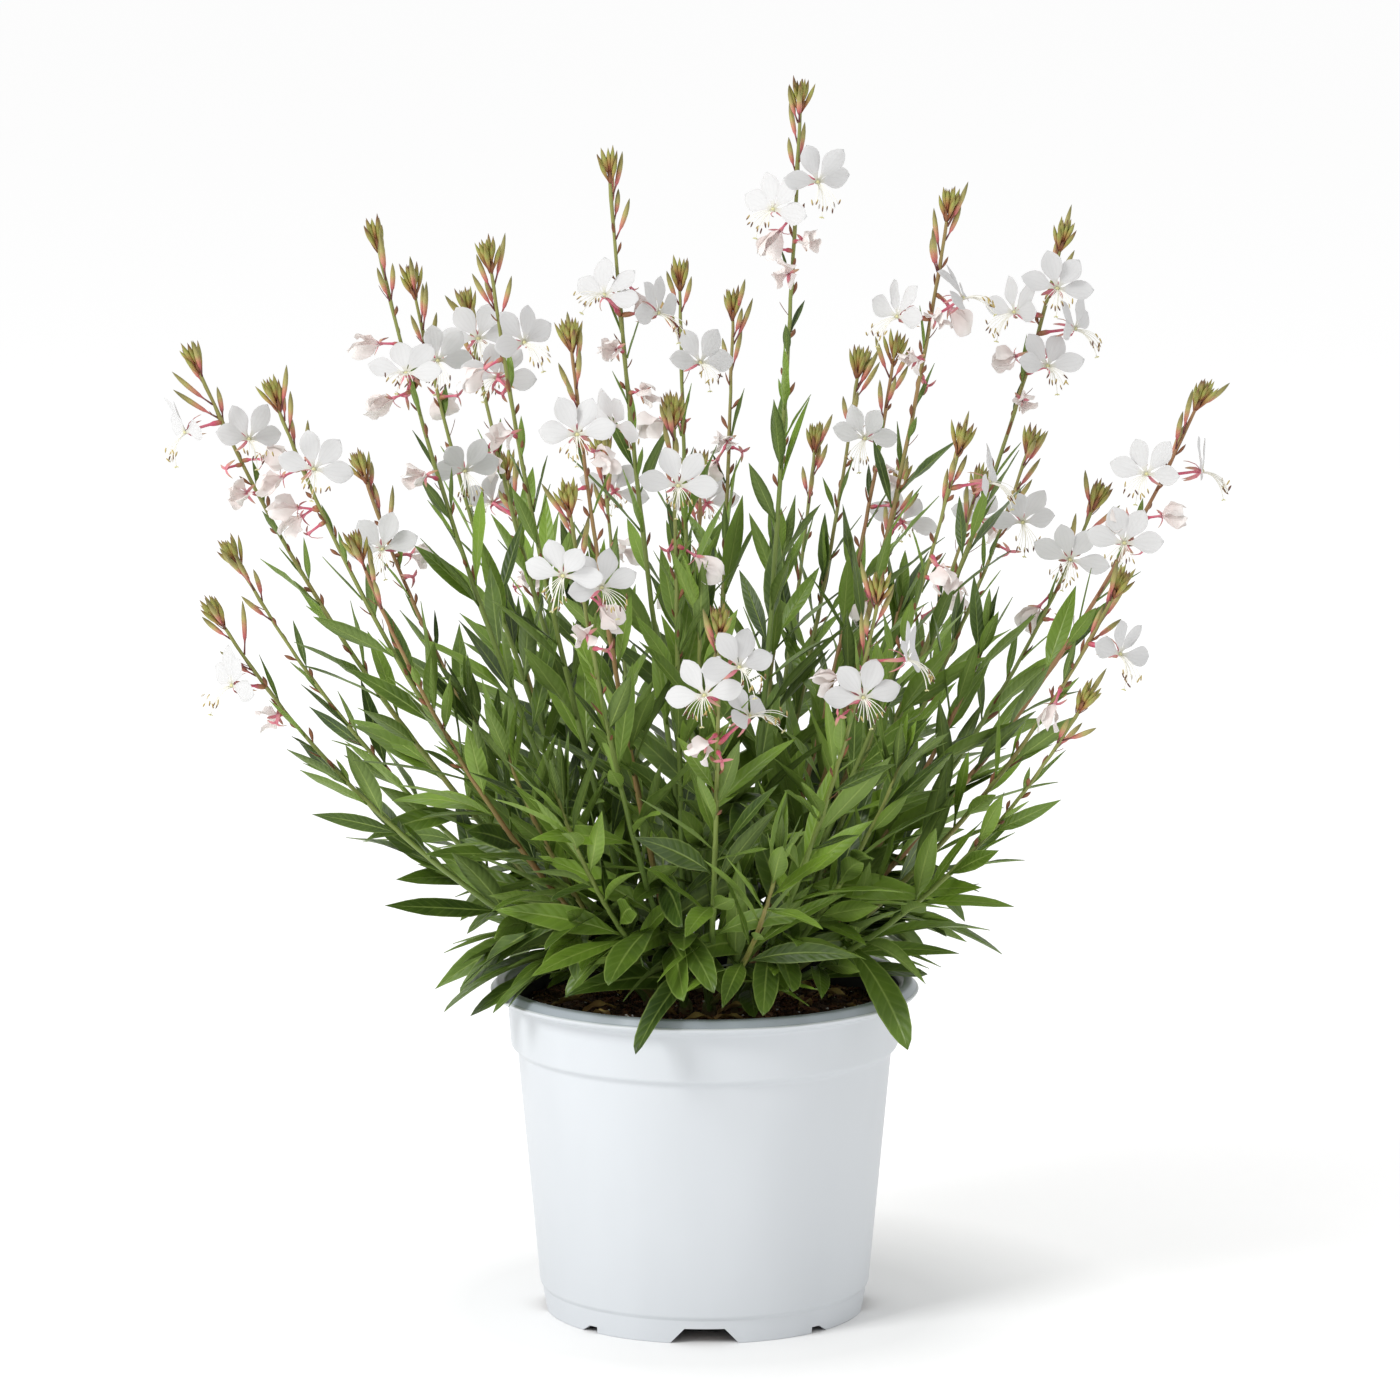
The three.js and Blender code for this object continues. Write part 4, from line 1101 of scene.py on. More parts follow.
@dataclass
class Stem:
    """A wand or a leafy shoot on its bowed path, with what grows on it."""

    owner: int
    root: np.ndarray
    tip: np.ndarray
    bearing: float
    key: float
    flowering: bool
    organs: list[Organ] = field(default_factory=list)

    def __post_init__(self) -> None:
        """Bows the path and measures it."""
        chord = self.tip - self.root
        level, whole = math.hypot(chord[0], chord[1]), float(np.linalg.norm(chord))
        bow = np.array([chord[0] / level, chord[1] / level, 0.0]) * (STEM_BOW * level * chord[2] / whole)
        bow[2] = -STEM_BOW * level * level / whole
        self.path = Path.of(self.root, self.root + chord / 3 + bow, self.root + chord * 2 / 3 + bow, self.tip)
        dots = np.array([self.path.at(i / PATH_STEPS) for i in range(PATH_STEPS + 1)])
        self.lengths = np.concatenate([[0.0], np.cumsum(np.linalg.norm(np.diff(dots, axis=0), axis=1))])
        self.length = float(self.lengths[-1])

    def point(self, share: float) -> np.ndarray:
        """The middle of the stem at a share of its path."""
        return self.path.at(share)

    def tangent(self, share: float) -> np.ndarray:
        """The stem's direction at a share of its path."""
        return self.path.tangent(share)

    @staticmethod
    def radius(share: float) -> float:
        """The stem's radius at a share of its path."""
        return mix(STEM_BASE_RADIUS, STEM_TIP_RADIUS, share)

    def share_below_tip(self, drop: float) -> float:
        """The share of the path that lies a distance below its tip."""
        target = (1 - drop / self.length) * self.length
        index = min(int(np.searchsorted(self.lengths, target, side="right")), PATH_STEPS) - 1
        low, high = self.lengths[index], self.lengths[index + 1]
        return (index + (target - low) / (high - low)) / PATH_STEPS

    def ring_share(self, share: float) -> float:
        """The nearest ring already in use within a few millimetres, or the share itself."""
        near = (o.share for o in self.organs if abs(o.share - share) * self.length < RING_SPACING)
        return next(near, share)

    def side_heading(self, share: float, side: int) -> np.ndarray:
        """The direction that a side of the stem faces."""
        tangent = self.tangent(share)
        return around(tangent, outwards(tangent, self.bearing), (side + 0.5) * 360 / STEM_SIDES)

    def free_side(self, share: float, bearing: float) -> int:
        """The free side that looks most nearly along a bearing, or -1."""
        away = outwards(self.tangent(share), bearing)
        best, most = -1, SEAT_FACING
        for side in range(STEM_SIDES):
            if any(o.share == share and o.side == side for o in self.organs):
                continue
            facing = float(self.side_heading(share, side) @ away)
            if facing > most:
                best, most = side, facing
        return best

    def corner(self, share: float, side: int) -> np.ndarray:
        """A corner of the stem's section."""
        tangent = self.tangent(share)
        out = around(tangent, outwards(tangent, self.bearing), side * 360 / STEM_SIDES)
        return self.point(share) + out * self.radius(share)

    def seat_of(self, organ: Organ) -> np.ndarray:
        """Where an organ leaves the stem."""
        if organ.side < 0:
            out = outwards(self.tangent(organ.share), organ.bearing)
            return self.point(organ.share) + out * self.radius(organ.share) * SEAT_DEPTH
        nxt = (organ.side + 1) % STEM_SIDES
        return mix(self.corner(organ.share, organ.side), self.corner(organ.share, nxt), 0.5)

    def course_of(self, organ: Organ) -> np.ndarray:
        """The direction in which a leaf or a bud leans from the stem."""
        tangent = self.tangent(organ.share)
        lean = math.radians(organ.lean)
        return tangent * math.cos(lean) + outwards(tangent, organ.bearing) * math.sin(lean)

    def right_of(self, organ: Organ, course: np.ndarray) -> np.ndarray:
        """The direction to the right of an organ, square to its own course."""
        tangent = self.tangent(organ.share)
        return square_to(np.cross(tangent, outwards(tangent, organ.bearing)), course)

    def leaf_path(self, leaf: Organ) -> Path:
        """A leaf's middle line."""
        start, first = self.seat_of(leaf), self.course_of(leaf)
        second = unit(first - UP * leaf.droop)
        middle = start + first * leaf.length * LEAF_BEND
        return Path.of(start, middle, middle + second * leaf.length * (1 - LEAF_BEND))

    def flower_centre(self, flower: Organ) -> np.ndarray:
        """The middle of an open flower."""
        return self.point(flower.share) + heading(flower.bearing, flower.pitch) * flower.reach

    def frame_of(self, flower: Organ) -> tuple[np.ndarray, np.ndarray]:
        """A flower's course and the direction to its right."""
        course = heading(flower.bearing, flower.pitch)
        return course, self.right_of(flower, course)

    def faded_tip(self, flower: Organ, i: int) -> np.ndarray:
        """The end of one of a faded flower's three folded tufts."""
        course, right = self.frame_of(flower)
        tip = self.point(flower.share) + course * draw(flower.key + i, 19, 24)
        out = petal_side(course, right, i) * draw(flower.key + i + 0.4, 1, 4)
        return tip + out + UP * draw(flower.key + i + 0.3, -5, 0)
@dataclass(frozen=True)
class Bloom:
    """An open flower, with the node and the stem that it stands on."""

    node: str
    flower: Organ
    stem: Stem
class Growth:
    """Replays the growth rule and keeps, of each organ's tries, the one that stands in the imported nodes."""

    def __init__(self, nodes: dict[str, bpy.types.Object]) -> None:
        """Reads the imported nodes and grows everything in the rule's order."""
        self.trees = {name: self._tree(node.data) for name, node in nodes.items() if name not in ("pot", "soil")}
        self.stems: list[list[Stem]] = [[] for _ in SPRAYS]
        self.blooms: list[Bloom] = []
        self.left_out = 0
        for owner, (_, wands, _) in enumerate(SPRAYS):
            for index, (tip, _) in enumerate(wands):
                self.stems[owner].append(self._stem(owner, index, np.array(tip, float), True))
        for owner, (_, _, shoots) in enumerate(SPRAYS):
            for index, shoot in enumerate(shoots):
                self._plant_shoot(owner, index, *shoot)
        for stage in (Stage.OPEN, Stage.FADED):
            self._plant_flowers(stage)
        self._each(True, self._plant_buds)
        for owner in range(len(SPRAYS)):
            self._plant_crown_leaves(owner)
        self._each(False, lambda stem: self._plant_stem_leaves(stem, SHOOT_LEAVES, SHOOT_SPAN))
        self._each(True, lambda stem: self._plant_stem_leaves(stem, WAND_LEAVES, WAND_SPAN))

    @staticmethod
    def _tree(mesh: bpy.types.Mesh) -> KDTree:
        """A search tree over a mesh's points."""
        tree = KDTree(len(mesh.vertices))
        for vertex in mesh.vertices:
            tree.insert(vertex.co, vertex.index)
        tree.balance()
        return tree

    def _stands(self, node: str, point: np.ndarray) -> bool:
        """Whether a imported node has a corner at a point."""
        _, _, distance = self.trees[node].find(Vector(point * MM))
        return distance is not None and distance < TIP_MATCH

    @staticmethod
    def _stem(owner: int, index: int, tip: np.ndarray, flowering: bool) -> Stem:
        """A stem from its spray's place on the crown."""
        bearing = SPRAYS[owner][0]
        root = heading(bearing) * CROWN_RADIUS + UP * (CROWN_HEIGHT + CROWN_GAP)
        key = owner * SPRAY_KEY + index * STEM_KEY + (0 if flowering else SHOOT_KEY)
        return Stem(owner, root, tip, bearing, key, flowering)

    def _each(self, flowering: bool, plant: Callable[[Stem], None]) -> None:
        """Plants on every wand, or on every shoot."""
        for stem in [s for stems in self.stems for s in stems if s.flowering is flowering]:
            plant(stem)

    def _plant_shoot(self, owner: int, index: int, bearing: float, reach: float, height: float) -> None:
        """Finds the turn at which a leafy shoot was planted."""
        for attempt in range(TRIES):
            tip = heading(bearing + swing(attempt) * SHOOT_SWING) * reach + UP * height
            stem = self._stem(owner, index, tip, False)
            if self._stands(f"spray_{owner + 1:02d}", stem.point(1) + stem.tangent(1) * SHOOT_END):
                self.stems[owner].append(stem)
                return
        self.left_out += 1

    def _seat(self, organ: Organ, stem: Stem) -> bool:
        """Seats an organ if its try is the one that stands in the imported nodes."""
        share = stem.ring_share(organ.share)
        side = stem.free_side(share, organ.bearing)
        if side < 0:
            return False
        seated = replace(organ, share=share, side=side)
        node = f"spray_{stem.owner + 1:02d}"
        if organ.kind is Kind.LEAF:
            mark = stem.leaf_path(seated).ends[3]
        elif organ.kind is Kind.BUD:
            mark = stem.seat_of(seated) + stem.course_of(seated) * seated.length
        elif organ.stage is Stage.FADED:
            mark = stem.faded_tip(seated, 0)
        else:
            node = f"bloom_{len(self.blooms) + 1:02d}"
            mark = stem.flower_centre(seated) + heading(seated.bearing, seated.pitch) * PETAL_THICKNESS / 2
        if not self._stands(node, mark):
            return False
        stem.organs.append(seated)
        if organ.kind is Kind.FLOWER and organ.stage is Stage.OPEN:
            self.blooms.append(Bloom(node, seated, stem))
        return True

    def _try(self, tries: Iterable[Organ], stem: Stem) -> None:
        """Seats the first of an organ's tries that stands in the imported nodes."""
        if not any(self._seat(organ, stem) for organ in tries):
            self.left_out += 1

    def _plant_flowers(self, stage: Stage) -> None:
        """Plants the flowers of one stage, wand by wand."""
        for owner, (_, wands, _) in enumerate(SPRAYS):
            for stem, (_, flowers) in zip(self.stems[owner], wands):
                for slot, (*place, its_stage) in enumerate(flowers):
                    if its_stage is stage:
                        self._plant_flower(stem, stem.key + slot * 2.3 + 60, stage, *place)

    def _plant_flower(
        self, stem: Stem, key: float, stage: Stage, drop: float, bearing: float, pitch: float
    ) -> None:
        """Plants one flower of a wand, a little lower, turned or further out at each try."""
        tries = (
            Organ(
                Kind.FLOWER,
                stem.share_below_tip(drop + (attempt % 3) * 4),
                bearing + swing(attempt) * FLOWER_SWING,
                key,
                pitch=pitch + draw(key, -5, 5),
                reach=FLOWER_REACH + attempt % 4,
                roll=draw(key + 0.1, -16, 16),
                stage=stage,
            )
            for attempt in range(TRIES * 2)
        )
        self._try(tries, stem)

    def _plant_buds(self, stem: Stem) -> None:
        """Plants a wand's single buds."""
        for i in range(BUDS):
            key = stem.key + i * 0.77 + 0.4
            tries = (
                Organ(
                    Kind.BUD,
                    stem.share_below_tip(draw(key, 6, 14) + i * 12),
                    draw(key + 0.2, 0, 360) + i * 160 + swing(attempt) * BUD_SWING,
                    key,
                    lean=draw(key + 0.3, 14, 24),
                    length=draw(key + 0.5, 14, 18),
                )
                for attempt in range(TRIES)
            )
            self._try(tries, stem)

    def _plant_leaf(self, leaf: Organ, stem: Stem) -> None:
        """Plants a leaf at the turn, lean and droop that it was planted with."""
        tries = (
            replace(
                leaf,
                bearing=leaf.bearing + swing(attempt) * LEAF_SWING,
                lean=leaf.lean - (attempt % 3) * 5,
                droop=leaf.droop * (1 - attempt * 0.06),
            )
            for attempt in range(TRIES)
        )
        self._try(tries, stem)

    def _plant_stem_leaves(self, stem: Stem, count: int, span: tuple[float, float]) -> None:
        """Plants leaves up a span of a stem, each a golden angle on from the last."""
        for i in range(count):
            key = stem.key + i * 1.13
            height = (i + draw(key, 0.1, 0.9)) / count
            length = mix(66, 42, height) * draw(key + 0.4, 0.88, 1.12)
            leaf = Organ(
                Kind.LEAF,
                mix(*span, height),
                stem.bearing + i * GOLDEN_ANGLE + draw(key + 0.2, -25, 25) + stem.owner * 50,
                key,
                lean=mix(54, 27, height) + draw(key + 0.3, -8, 8),
                length=length,
                half_width=length * LEAF_SLENDERNESS,
                droop=mix(0.55, 0.1, height) * draw(key + 0.6, 0.5, 1.4),
                twist=draw(key + 0.7, -35, 35),
            )
            self._plant_leaf(leaf, stem)

    def _plant_crown_leaves(self, owner: int) -> None:
        """Plants the broad leaves that arch out over the rim."""
        for i in range(CROWN_LEAVES):
            key = owner * 5.7 + i * 1.9 + 300
            stem = self.stems[owner][i % len(self.stems[owner])]
            length = draw(key + 0.4, 62, 80)
            leaf = Organ(
                Kind.LEAF,
                draw(key, 0.08, 0.2),
                SPRAYS[owner][0] + (i - 1) * 34 + draw(key + 0.2, -12, 12),
                key,
                lean=draw(key + 0.3, 46, 68),
                length=length,
                half_width=length * BROAD_SLENDERNESS,
                droop=draw(key + 0.5, 0.5, 0.95),
                twist=draw(key + 0.6, -20, 20),
                broad=True,
            )
            self._plant_leaf(leaf, stem)


# The plant's pieces


@dataclass
class SprayPiece:
    """A piece that grows on the stems of one spray and stands for the spray's node."""

    stems: list[Stem]
    number: int

    def dress(self, piece: bpy.types.Object) -> None:
        """Gives the piece its body and the node that it stands for."""
        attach(piece, BODY)
        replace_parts(piece, f"spray_{self.number:02d}")


@dataclass
class Foliage(SprayPiece):
    """The leaves of one spray: those of the solids and the finer ones between them.

    The keys of each run of added leaves start from a number of its own, so no two leaves share their draws.
    """

    wand_extra: int = 14
    wand_span: tuple[float, float] = (0.07, 0.69)
    shoot_extra: int = 12
    shoot_span: tuple[float, float] = (0.16, 0.99)
    tuft: int = 5
    crown_extra: int = 3
    bract_extra: int = 5
    fallen: int = 2
    thickness: float = 0.24
    levelling: float = 0.6
    broad_tone: float = 0.42
    rim_span: tuple[float, float] = (78.0, 100.0)
    rim_gap: float = 2.5
    soil_gap: float = 6.0

    def _clears_pot(self, path: Path) -> bool:
        """Whether a leaf's middle line keeps clear of the pot and the soil."""
        inner, outer = self.rim_span
        for i in range(1, 11):
            x, y, z = path.at(i / 10)
            out = math.hypot(x, y)
            floor = POT_HEIGHT + self.rim_gap if out > inner else SOIL_EDGE + self.soil_gap
            if out < outer and z < floor:
                return False
        return True

    @staticmethod
    def _leaf(key: float, length: float, slenderness: tuple, twist: float, roll: float, **more: Any) -> Organ:
        """An added leaf.

        Args:
            key: what its draws start from.
            length: its length.
            slenderness: the range of its half width over its length.
            twist: the most that it twists to either side.
            roll: the most that it rolls to either side.
            more: its further facts, by name.

        Returns:
            The leaf.
        """
        return Organ(
            Kind.LEAF,
            key=key,
            length=length,
            half_width=length * draw(key + 0.5, *slenderness),
            twist=draw(key + 0.7, -twist, twist),
            roll=draw(key + 0.8, -roll, roll),
            **more,
        )

    def _extra_on(self, stem: Stem) -> Iterator[Organ]:
        """Leaves that fill a stem between those of the solids."""
        count, span = (self.wand_extra, self.wand_span) if stem.flowering else (self.shoot_extra, self.shoot_span)
        for i in range(count):
            key = stem.key + i * 0.83 + 500
            height = (i + draw(key, 0.1, 0.9)) / count
            turn = i * GOLDEN_ANGLE + draw(key + 0.2, -30, 30) + stem.owner * 50 + 70
            yield self._leaf(
                key,
                mix(68, 34, height**0.9) * draw(key + 0.4, 0.72, 1.12),
                slenderness=(0.082, 0.112),
                twist=65,
                roll=72,
                share=mix(*span, height),
                bearing=stem.bearing + turn,
                lean=mix(50, 22, height) + draw(key + 0.3, -10, 12),
                droop=mix(0.6, 0.0, height) * draw(key + 0.6, 0.0, 1.7),
            )

    def _tuft_on(self, stem: Stem) -> Iterator[Organ]:
        """The small upright leaves that close a shoot."""
        for i in range(0 if stem.flowering else self.tuft):
            key = stem.key + i * 1.53 + 620
            yield self._leaf(
                key,
                mix(36, 17, i / self.tuft) * draw(key + 0.4, 0.85, 1.15),
                slenderness=(0.09, 0.12),
                twist=40,
                roll=30,
                share=mix(0.9, 1.0, i / (self.tuft - 1)),
                bearing=stem.bearing + i * GOLDEN_ANGLE + draw(key, -20, 20),
                lean=draw(key + 0.3, 6, 24),
                droop=draw(key + 0.6, -0.1, 0.25),
            )

    def _bracts_on(self, stem: Stem) -> Iterator[Organ]:
        """Small narrow leaves on a wand's bare upper part."""
        for i in range(self.bract_extra if stem.flowering else 0):
            key = stem.key + i * 1.37 + 700
            length = draw(key + 0.4, 12, 26)
            yield self._leaf(
                key,
                length,
                slenderness=(1.0 / length, 1.9 / length),
                twist=30,
                roll=0,
                share=mix(0.6, 0.84, (i + draw(key)) / self.bract_extra),
                bearing=stem.bearing + i * GOLDEN_ANGLE + 33,
                lean=draw(key + 0.3, 14, 30),
                droop=draw(key + 0.6, -0.1, 0.2),
            )

    def _crown_on(self, stem: Stem) -> Iterator[Organ]:
        """Broad leaves low on a stem, which arch out over the soil and the rim."""
        for i in range(self.crown_extra):
            key = stem.key + i * 2.17 + 900
            yield self._leaf(
                key,
                draw(key + 0.4, 46, 76),
                slenderness=(0.088, 0.108),
                twist=30,
                roll=50,
                share=draw(key, 0.04, 0.22),
                bearing=stem.bearing + draw(key + 0.2, -70, 70),
                lean=draw(key + 0.3, 34, 74),
                droop=draw(key + 0.6, 0.5, 1.5),
                broad=True,
            )

    def _fallen(self, i: int) -> Strand:
        """A small dry leaf that lies on the soil."""
        key = self.number * 3.3 + i * 1.9
        bearing, turn = SPRAYS[self.number - 1][0] + draw(key, -20, 20), draw(key + 0.4, 0, 360)
        start = heading(bearing) * draw(key + 0.2, 34, 66) + UP * (SOIL_EDGE + 7)
        reach = draw(key + 0.6, 11, 19)
        path = Path.of(start, start + heading(turn, 28) * reach / 2, start + heading(turn) * reach - UP * 1.5)
        twist, tone = draw(key + 0.8, -50, 50), draw(key + 0.9)
        return Strand(path, heading(turn + 90), reach * 0.15, 0.25, twist, cup=0.5, wave=0.3, tone=tone)

    def _strand(self, leaf: Organ, stem: Stem) -> Strand:
        """A leaf laid along its middle line."""
        path = stem.leaf_path(leaf)
        course = path.tangent(0.5)
        level = unit(np.cross(UP, course))
        right = unit(mix(stem.right_of(leaf, course), level, self.levelling))
        return Strand(
            path,
            around(course, square_to(right, course), leaf.roll),
            leaf.half_width,
            self.thickness,
            turn=leaf.twist,
            cup=draw(leaf.key + 3.1, 0.08, 0.3),
            wave=draw(leaf.key + 3.3, 0.0, 0.2),
            tone=draw(leaf.key + 3.7, 0.0, self.broad_tone if leaf.broad else 1.0),
        )

    def build(self, tree: PathTree) -> bpy.types.Object:
        """Lays every leaf of the spray and joins them."""
        slender, broad = [], []
        for stem in self.stems:
            leaves = [o for o in stem.organs if o.kind is Kind.LEAF]
            for run in (self._extra_on, self._tuft_on, self._bracts_on, self._crown_on):
                leaves += [leaf for leaf in run(stem) if self._clears_pot(stem.leaf_path(leaf))]
            for leaf in leaves:
                (broad if leaf.broad else slender).append(self._strand(leaf, stem))
        parts = [
            tree.lay("slender", slender, Forms.slender, Looks.leaf, 1.6),
            tree.lay("dry", [self._fallen(i) for i in range(self.fallen)], Forms.broad, Looks.dry, 2.0),
            tree.lay("broad", broad, Forms.broad, Looks.leaf, 1.3),
        ]
        log.info("leaves_%02d: %d leaves", self.number, len(slender) + len(broad))
        return join(f"leaves_{self.number:02d}", parts)


@dataclass
class Stems(SprayPiece):
    """The stems of one spray with their heads, buds, bracts, flower tubes and faded flowers."""

    rings: int = 44
    sides: int = 8
    bead: float = 0.2
    bead_reach: float = 3.0
    wobble: float = 0.25
    slim: float = 0.85
    more_buds: int = 3
    spent: int = 2
    pods_from: float = 24.0
    pods_to: float = 0.45
    pod_share: float = 0.55
    bud_radius: float = 1.2
    bract_size: tuple[float, float] = (0.75, 0.2)
    dry_bract_size: tuple[float, float] = (0.7, 0.16)
    pod_radius: tuple[float, float] = (0.65, 1.0)
    tube_radius: float = 1.25
    closed_tube_radius: float = 1.1
    sepal_thickness: float = 0.2
    folded_thickness: float = 0.16
    faded_neck: float = 9.5
    crown_radius: float = 3.6
    crown_depth: float = 12.0
    crown_rise: float = 17.0
    root_depth: float = 4.0

    def _line(self, stem: Stem) -> StemLine:
        """A stem's centre line, with a slight swelling at each node."""
        shares = np.linspace(0.0, 1.0, self.rings)
        points = np.array([stem.point(s) for s in shares])
        girths = np.array([stem.radius(s) for s in shares]) * self.slim
        for organ in stem.organs:
            girths += self.bead * np.exp(-(((shares - organ.share) * stem.length / self.bead_reach) ** 2))
        for i in range(self.rings):
            points[i] += heading(draw(stem.key + i, 0, 360)) * draw(stem.key + i + 0.5, 0, self.wobble)
        points[0] -= UP * self.root_depth
        return StemLine(points, girths, shares, draw(stem.key + 5.5))

    def _head(self, stem: Stem, made: Groups) -> None:
        """Adds a wand's head of pointed buds and the bracts at its foot."""
        end, tangent = stem.point(1), stem.tangent(1)
        first = outwards(tangent, stem.bearing)

        def add(base: float, spread: np.ndarray, tip: np.ndarray, radius: float, key: float) -> None:
            """Adds a bud from the head's axis to its tip."""
            start = end + tangent * base + spread * 0.5
            right = square_to(np.cross(tangent, spread), unit(tip - start))
            made["heads"].append(cord((start, mix(start, tip, 0.5) + spread * 0.5, tip), right, radius, draw(key)))

        for i in range(STEM_SIDES):
            key = stem.key + i * 3.1
            spread, between = (around(tangent, first, (i + part) * 360 / STEM_SIDES) for part in (0.5, 1))
            low = end + tangent * (draw(key, 8, 12) - 0.1) + spread * draw(key + 0.5, 4.6, 6.6)
            high = end + tangent * (draw(key + 0.7, 11, 14) - 0.1) + spread * draw(key + 0.9, 2.6, 4.2)
            inner = end + tangent * draw(key + 1.3, 9.5, 13) + between * draw(key + 1.5, 1.6, 5)
            add(-2.5, spread, low, 1.0, key + 0.2)
            add(0.5, spread, high, 1.05, key + 0.6)
            add(1.5, between, inner, 0.9, key + 1.1)
            foot = end - tangent * draw(key + 1.7, 1, 4)
            tip = foot + tangent * draw(key + 1.9, 4, 6) + between * 2.6
            path = Path.of(foot + between * 0.6, mix(foot, tip, 0.5) + between * 0.7, tip)
            right = square_to(np.cross(tangent, between), unit(tip - foot))
            made["bracts"].append(Strand(path, right, *self.bract_size, tone=draw(key + 2.2)))
        add(3.0, first, end + tangent * 12, 0.9, stem.key + 0.33)

    def _buds_on(self, stem: Stem) -> Iterator[Organ]:
        """The single buds that stand between those of the solids and below them."""
        for i in range(self.more_buds if stem.flowering else 0):
            key = stem.key + i * 2.13 + 80
            yield Organ(
                Kind.BUD,
                stem.share_below_tip(draw(key, 1, 9) + i * 11),
                draw(key + 0.2, 0, 360) + i * GOLDEN_ANGLE,
                key,
                lean=draw(key + 0.3, 16, 36),
                length=draw(key + 0.5, 16, 24),
            )

    def _spent_on(self, stem: Stem) -> Iterator[Organ]:
        """A closed flower, and a tube that has dropped its petals, lower on a wand that is in flower."""
        for i in range(self.spent if any(o.kind is Kind.FLOWER for o in stem.organs) else 0):
            key = stem.key + i * 4.1 + 950
            yield Organ(
                Kind.FLOWER,
                stem.share_below_tip(draw(key, 34, 60) + i * 11),
                draw(key + 0.2, 0, 360),
                key,
                pitch=draw(key + 0.3, -50, 12),
                stage=Stage.SPENT if i else Stage.FADED,
            )

    def _bud(self, bud: Organ, stem: Stem, made: Groups) -> None:
        """Adds a single bud on its stalk."""
        start, course = stem.seat_of(bud), stem.course_of(bud)
        out = outwards(stem.tangent(bud.share), bud.bearing)
        points = (start, start + course * bud.length * 0.4 + out * 1.2, start + course * bud.length)
        made["buds"].append(cord(points, stem.right_of(bud, course), self.bud_radius, draw(bud.key + 0.9)))

    def _pods(self, stem: Stem, made: Groups) -> None:
        """Adds the small pods and dry bracts that fallen flowers leave up a wand."""
        drop, i = self.pods_from, 0
        while drop < stem.length * self.pods_to:
            key = stem.key + i * 1.71 + 40
            share = stem.share_below_tip(drop)
            tangent = stem.tangent(share)
            out = outwards(tangent, stem.bearing + i * GOLDEN_ANGLE + draw(key, -20, 20))
            start = stem.point(share) + out * stem.radius(share) * 0.6
            tip = start + unit(tangent + out * draw(key + 0.3, 0.3, 0.8)) * draw(key + 0.2, 4.5, 8.5)
            right = square_to(np.cross(tangent, out), unit(tip - start))
            middle, tone = mix(start, tip, 0.5), draw(key + 0.8)
            if draw(key + 0.6) < self.pod_share:
                radius = draw(key + 0.7, *self.pod_radius)
                made["pods"].append(cord((start, middle + out * 0.5, tip), right, radius, tone))
            else:
                path = Path.of(start, middle + out * 0.6, tip)
                made["bracts"].append(Strand(path, right, *self.dry_bract_size, tone=tone))
            drop += draw(key + 0.9, 7, 13)
            i += 1

    def _carried(self, flower: Organ, stem: Stem, made: Groups) -> None:
        """Adds the tube and turned-back sepals that carry an open flower."""
        course, right = stem.frame_of(flower)
        start = stem.seat_of(flower)
        end = stem.flower_centre(flower) - course * (PETAL_THICKNESS / 2 + FLOWER_GAP * 0.5)
        points = (start, mix(start, end, 0.4) + UP * 0.8, end)
        made["tubes"].append(cord(points, right, self.tube_radius, draw(flower.key)))
        for i in range(4):
            key = flower.key + i * 0.7
            out = petal_side(course, right, i)
            path = Path.of(
                end - course * 0.8 + out * 0.6,
                end + course * 0.4 + out * 2.6,
                end - course * 4 + out * 5.2,
                end - course * 8 * draw(key, 0.8, 1.15) + out * 5.5,
            )
            width, twist, tone = draw(key + 0.3, 0.6, 0.95), draw(key + 0.4, -30, 30), draw(key + 0.5)
            side = np.cross(course, out)
            made["sepals"].append(Strand(path, side, width, self.sepal_thickness, twist, tone=tone))

    def _past(self, flower: Organ, stem: Stem, made: Groups) -> None:
        """Adds a flower past its best: its tube, its sepals and, where it still has them, its folded petals."""
        course, right = stem.frame_of(flower)
        start, neck = stem.seat_of(flower), stem.point(flower.share) + course * self.faded_neck
        points = (start, mix(start, neck, 0.5) + UP * 0.6, neck)
        made["tubes"].append(cord(points, right, self.closed_tube_radius, draw(flower.key)))
        for i in range(4 if flower.stage is Stage.FADED else 0):
            key = flower.key + i * 0.9
            out = petal_side(course, right, i)
            tip = stem.faded_tip(flower, i) if i < 3 else neck + course * draw(key, 10, 13) + out * 3 - UP * 3
            belly = neck + course * 4.0 + out * draw(key + 0.2, 1.0, 4.8)
            made["faded"].append(
                Strand(
                    Path.of(neck - course * 0.5, belly, mix(belly, tip, 0.55) + out * 1.8, tip),
                    np.cross(course, out),
                    draw(key + 0.3, 2.9, 4.3),
                    self.folded_thickness,
                    turn=draw(key + 0.6, -75, 75),
                    cup=draw(key + 0.7, -0.6, 0.3),
                    wave=0.3,
                    tone=draw(key + 0.8),
                )
            )
        for i in range(3):
            key = flower.key + i * 1.3 + 9
            out = around(course, right, 30 + 120 * i)
            path = Path.of(neck, neck + course + out * 2.2, neck - course * draw(key, -4, 6) + out * 5)
            side = np.cross(course, out)
            made["sepals"].append(Strand(path, side, 0.8, self.sepal_thickness, tone=draw(key + 0.5)))

